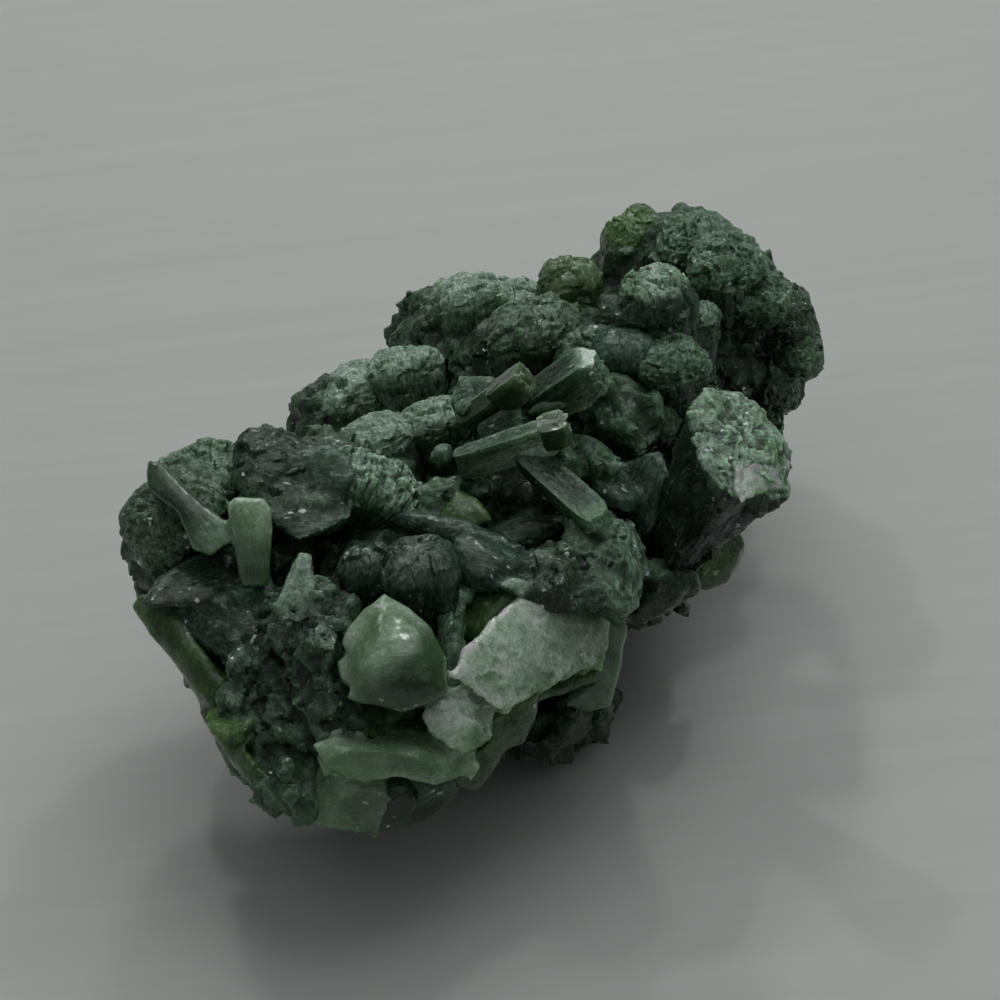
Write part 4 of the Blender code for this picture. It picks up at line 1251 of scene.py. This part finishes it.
def crumbs(tree, hosts, kind, finish):
    """One shell of the crumbs of this kind on these shells."""
    density, size, seed = CRUMBS[kind]
    host = plain_mesh(hosts, "host", FINISHES[finish])
    values = {"Density": density / MM ** 2, "Size": size * MM, "Seed": seed, "Finish": FINISHES[finish]}
    mesh = grown(tree, values, "crumbs", host)
    shell = mesh_shell(mesh)
    bpy.data.meshes.remove(mesh)
    return shell


# Pieces

def piece(shells, name, finish):
    """One visible piece of the cluster, riding on it in place of its plain solid."""
    low, high = (np.array(corner) for corner in CAD_BOX)
    for shell in shells:
        shell.points = np.clip(shell.points, low, high)
    mesh = plain_mesh(shells, name, FINISHES[finish])
    with_ridge_highlight_and_cleft_shade(mesh)
    made = bpy.data.objects.new(name, mesh)
    bpy.context.scene.collection.objects.link(made)
    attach(made, "root")
    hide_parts(NODE)


def shells_by_finish(rows):
    """Shells grouped by the finish of their look."""
    groups = {}
    for look, shell in rows:
        kept = rested(shell)
        if kept is not None:
            groups.setdefault(LOOKS[look].finish, []).append(kept)
    return groups


def build_blocks(tree):
    """All the slabs, with crumbs strewn over the crumbly and the flaky ones."""
    rows = []
    hosts = []
    pale_hosts = []
    for name, outline, depth, lean, thick, look in SLABS:
        shell = slab_shell(name, outline, depth, lean, thick, look)
        rows.append((look, shell))
        if name.startswith(CRUMBLY):
            hosts.append(shell)
        if name.startswith(FLAKY):
            pale_hosts.append(shell)
    groups = shells_by_finish(rows)
    groups["clear"].append(rested(crumbs(tree, pale_hosts, "clear", "clear")))
    groups["slate"].append(rested(crumbs(tree, hosts, "slate", "slate")))
    for finish, shells in groups.items():
        piece([fused(shells, VOXEL[finish], FINISHES[finish])], f"blocks_{finish}", finish)


def build_fans(tree):
    rows = []
    for i, (name, foot, tip, width, thick, spread, turn, look) in enumerate(FANS):
        shell = fan_shell(tree, sighted(*foot), sighted(*tip), width, thick, spread, turn, look, i,
                          PLATE_GAP, PLATE_SIDES)
        rows.append((look, shell))
    for i, (name, foot, tip, width, thick, turn, look) in enumerate(BARS):
        shell = fan_shell(tree, sighted(*foot), sighted(*tip), width, thick, BAR_SPREAD, turn, look,
                          BAR_SEED + i, BAR_PLATE_GAP, PLATE_SIDES, **BAR_FORM)
        rows.append((look, shell))
    for finish, shells in shells_by_finish(rows).items():
        piece(shells, f"fans_{finish}", finish)


def build_sheaves():
    rows = []
    for i, (name, foot, tip, wide, thick, waist, cap, turn, look) in enumerate(SHEAVES):
        shell = sheaf_shell(sighted(*foot), sighted(*tip), (wide, thick), waist, cap, turn, look, i)
        rows.append((look, shell))
    for finish, shells in shells_by_finish(rows).items():
        middle = len(shells) // 2 if finish == "slate" else 0
        if middle:
            piece(shells[:middle], f"sheaves_{finish}_near", finish)
        piece(shells[middle:], f"sheaves_{finish}", finish)


def build_hidden(tree):
    rows = []
    for i, (foot, tip, width, thick, spread, turn) in enumerate(hidden_fans()):
        look = HIDDEN_LOOKS[i % len(HIDDEN_LOOKS)]
        shell = fan_shell(tree, foot, tip, width, thick, spread, turn, look, FAR_SEED + i,
                          HIDDEN_PLATE_GAP, HIDDEN_PLATE_SIDES)
        rows.append((look, shell))
    for finish, shells in shells_by_finish(rows).items():
        piece(shells, f"far_fans_{finish}", finish)


def build_ground(tree):
    lumps = [lump_shell(*place[:3], i) for i, place in enumerate(lump_places())]
    shells = [rested(lump) for lump in lumps]
    shells = [s for s in shells if s is not None]
    shells.append(rested(crumbs(tree, lumps, "ground", "slate")))
    piece([fused(shells, VOXEL["ground"], FINISHES["slate"])], "ground", "slate")


# Stage

def build_floor():
    corners = [(x * FLOOR_REACH, y * FLOOR_REACH, 0) for x, y in ((-1, -1), (1, -1), (1, 1), (-1, 1))]
    mesh = bpy.data.meshes.new("floor")
    mesh.from_pydata(corners, [], [(0, 1, 2, 3)])
    mesh.materials.append(floor_finish())
    floor = bpy.data.objects.new("floor", mesh)
    bpy.context.scene.collection.objects.link(floor)
    floor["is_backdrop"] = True


def build_camera():
    lens = bpy.data.cameras.new("camera")
    lens.lens = LENS
    lens.sensor_fit = "HORIZONTAL"
    lens.sensor_width = SENSOR
    lens.clip_start = 0.01
    camera = bpy.data.objects.new("camera", lens)
    bpy.context.scene.collection.objects.link(camera)
    turn = Matrix((ACROSS, ABOVE, -AHEAD)).transposed().to_4x4()
    camera.matrix_world = Matrix.Translation(on_stone(VIEW_TARGET) - AHEAD * VIEW_DISTANCE * MM) @ turn
    bpy.context.scene.camera = camera


def build_light():
    world = bpy.data.worlds.new("soft_room")
    world.use_nodes = True
    glow = world.node_tree.nodes["Background"].inputs
    glow["Color"].default_value = ROOM_TINT
    glow["Strength"].default_value = ROOM_GLOW
    bpy.context.scene.world = world
    for name, place, size, power in LIGHTS:
        lamp = bpy.data.lights.new(name, "AREA")
        lamp.color = LIGHT_TINT
        lamp.size = size
        lamp.energy = power
        light = bpy.data.objects.new(name, lamp)
        bpy.context.scene.collection.objects.link(light)
        light.location = place
        light.rotation_euler = (LIT_POINT - Vector(place)).to_track_quat("-Z", "Y").to_euler()
    bpy.context.scene.view_settings.view_transform = "Standard"


noise.seed_set(NOISE_SEED)
build_camera()
build_light()
build_floor()
crystal_fan = fan_tree()
crystal_crumbs = crumb_tree()
build_blocks(crystal_crumbs)
build_fans(crystal_fan)
build_sheaves()
build_hidden(crystal_fan)
build_ground(crystal_crumbs)

for holder in list(bpy.data.meshes):
    if holder.users == 0:
        bpy.data.meshes.remove(holder)
boxes = {"cad": CAD_BOX, "visual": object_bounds()}
{name: [list(corner) for corner in box] for name, box in boxes.items()}
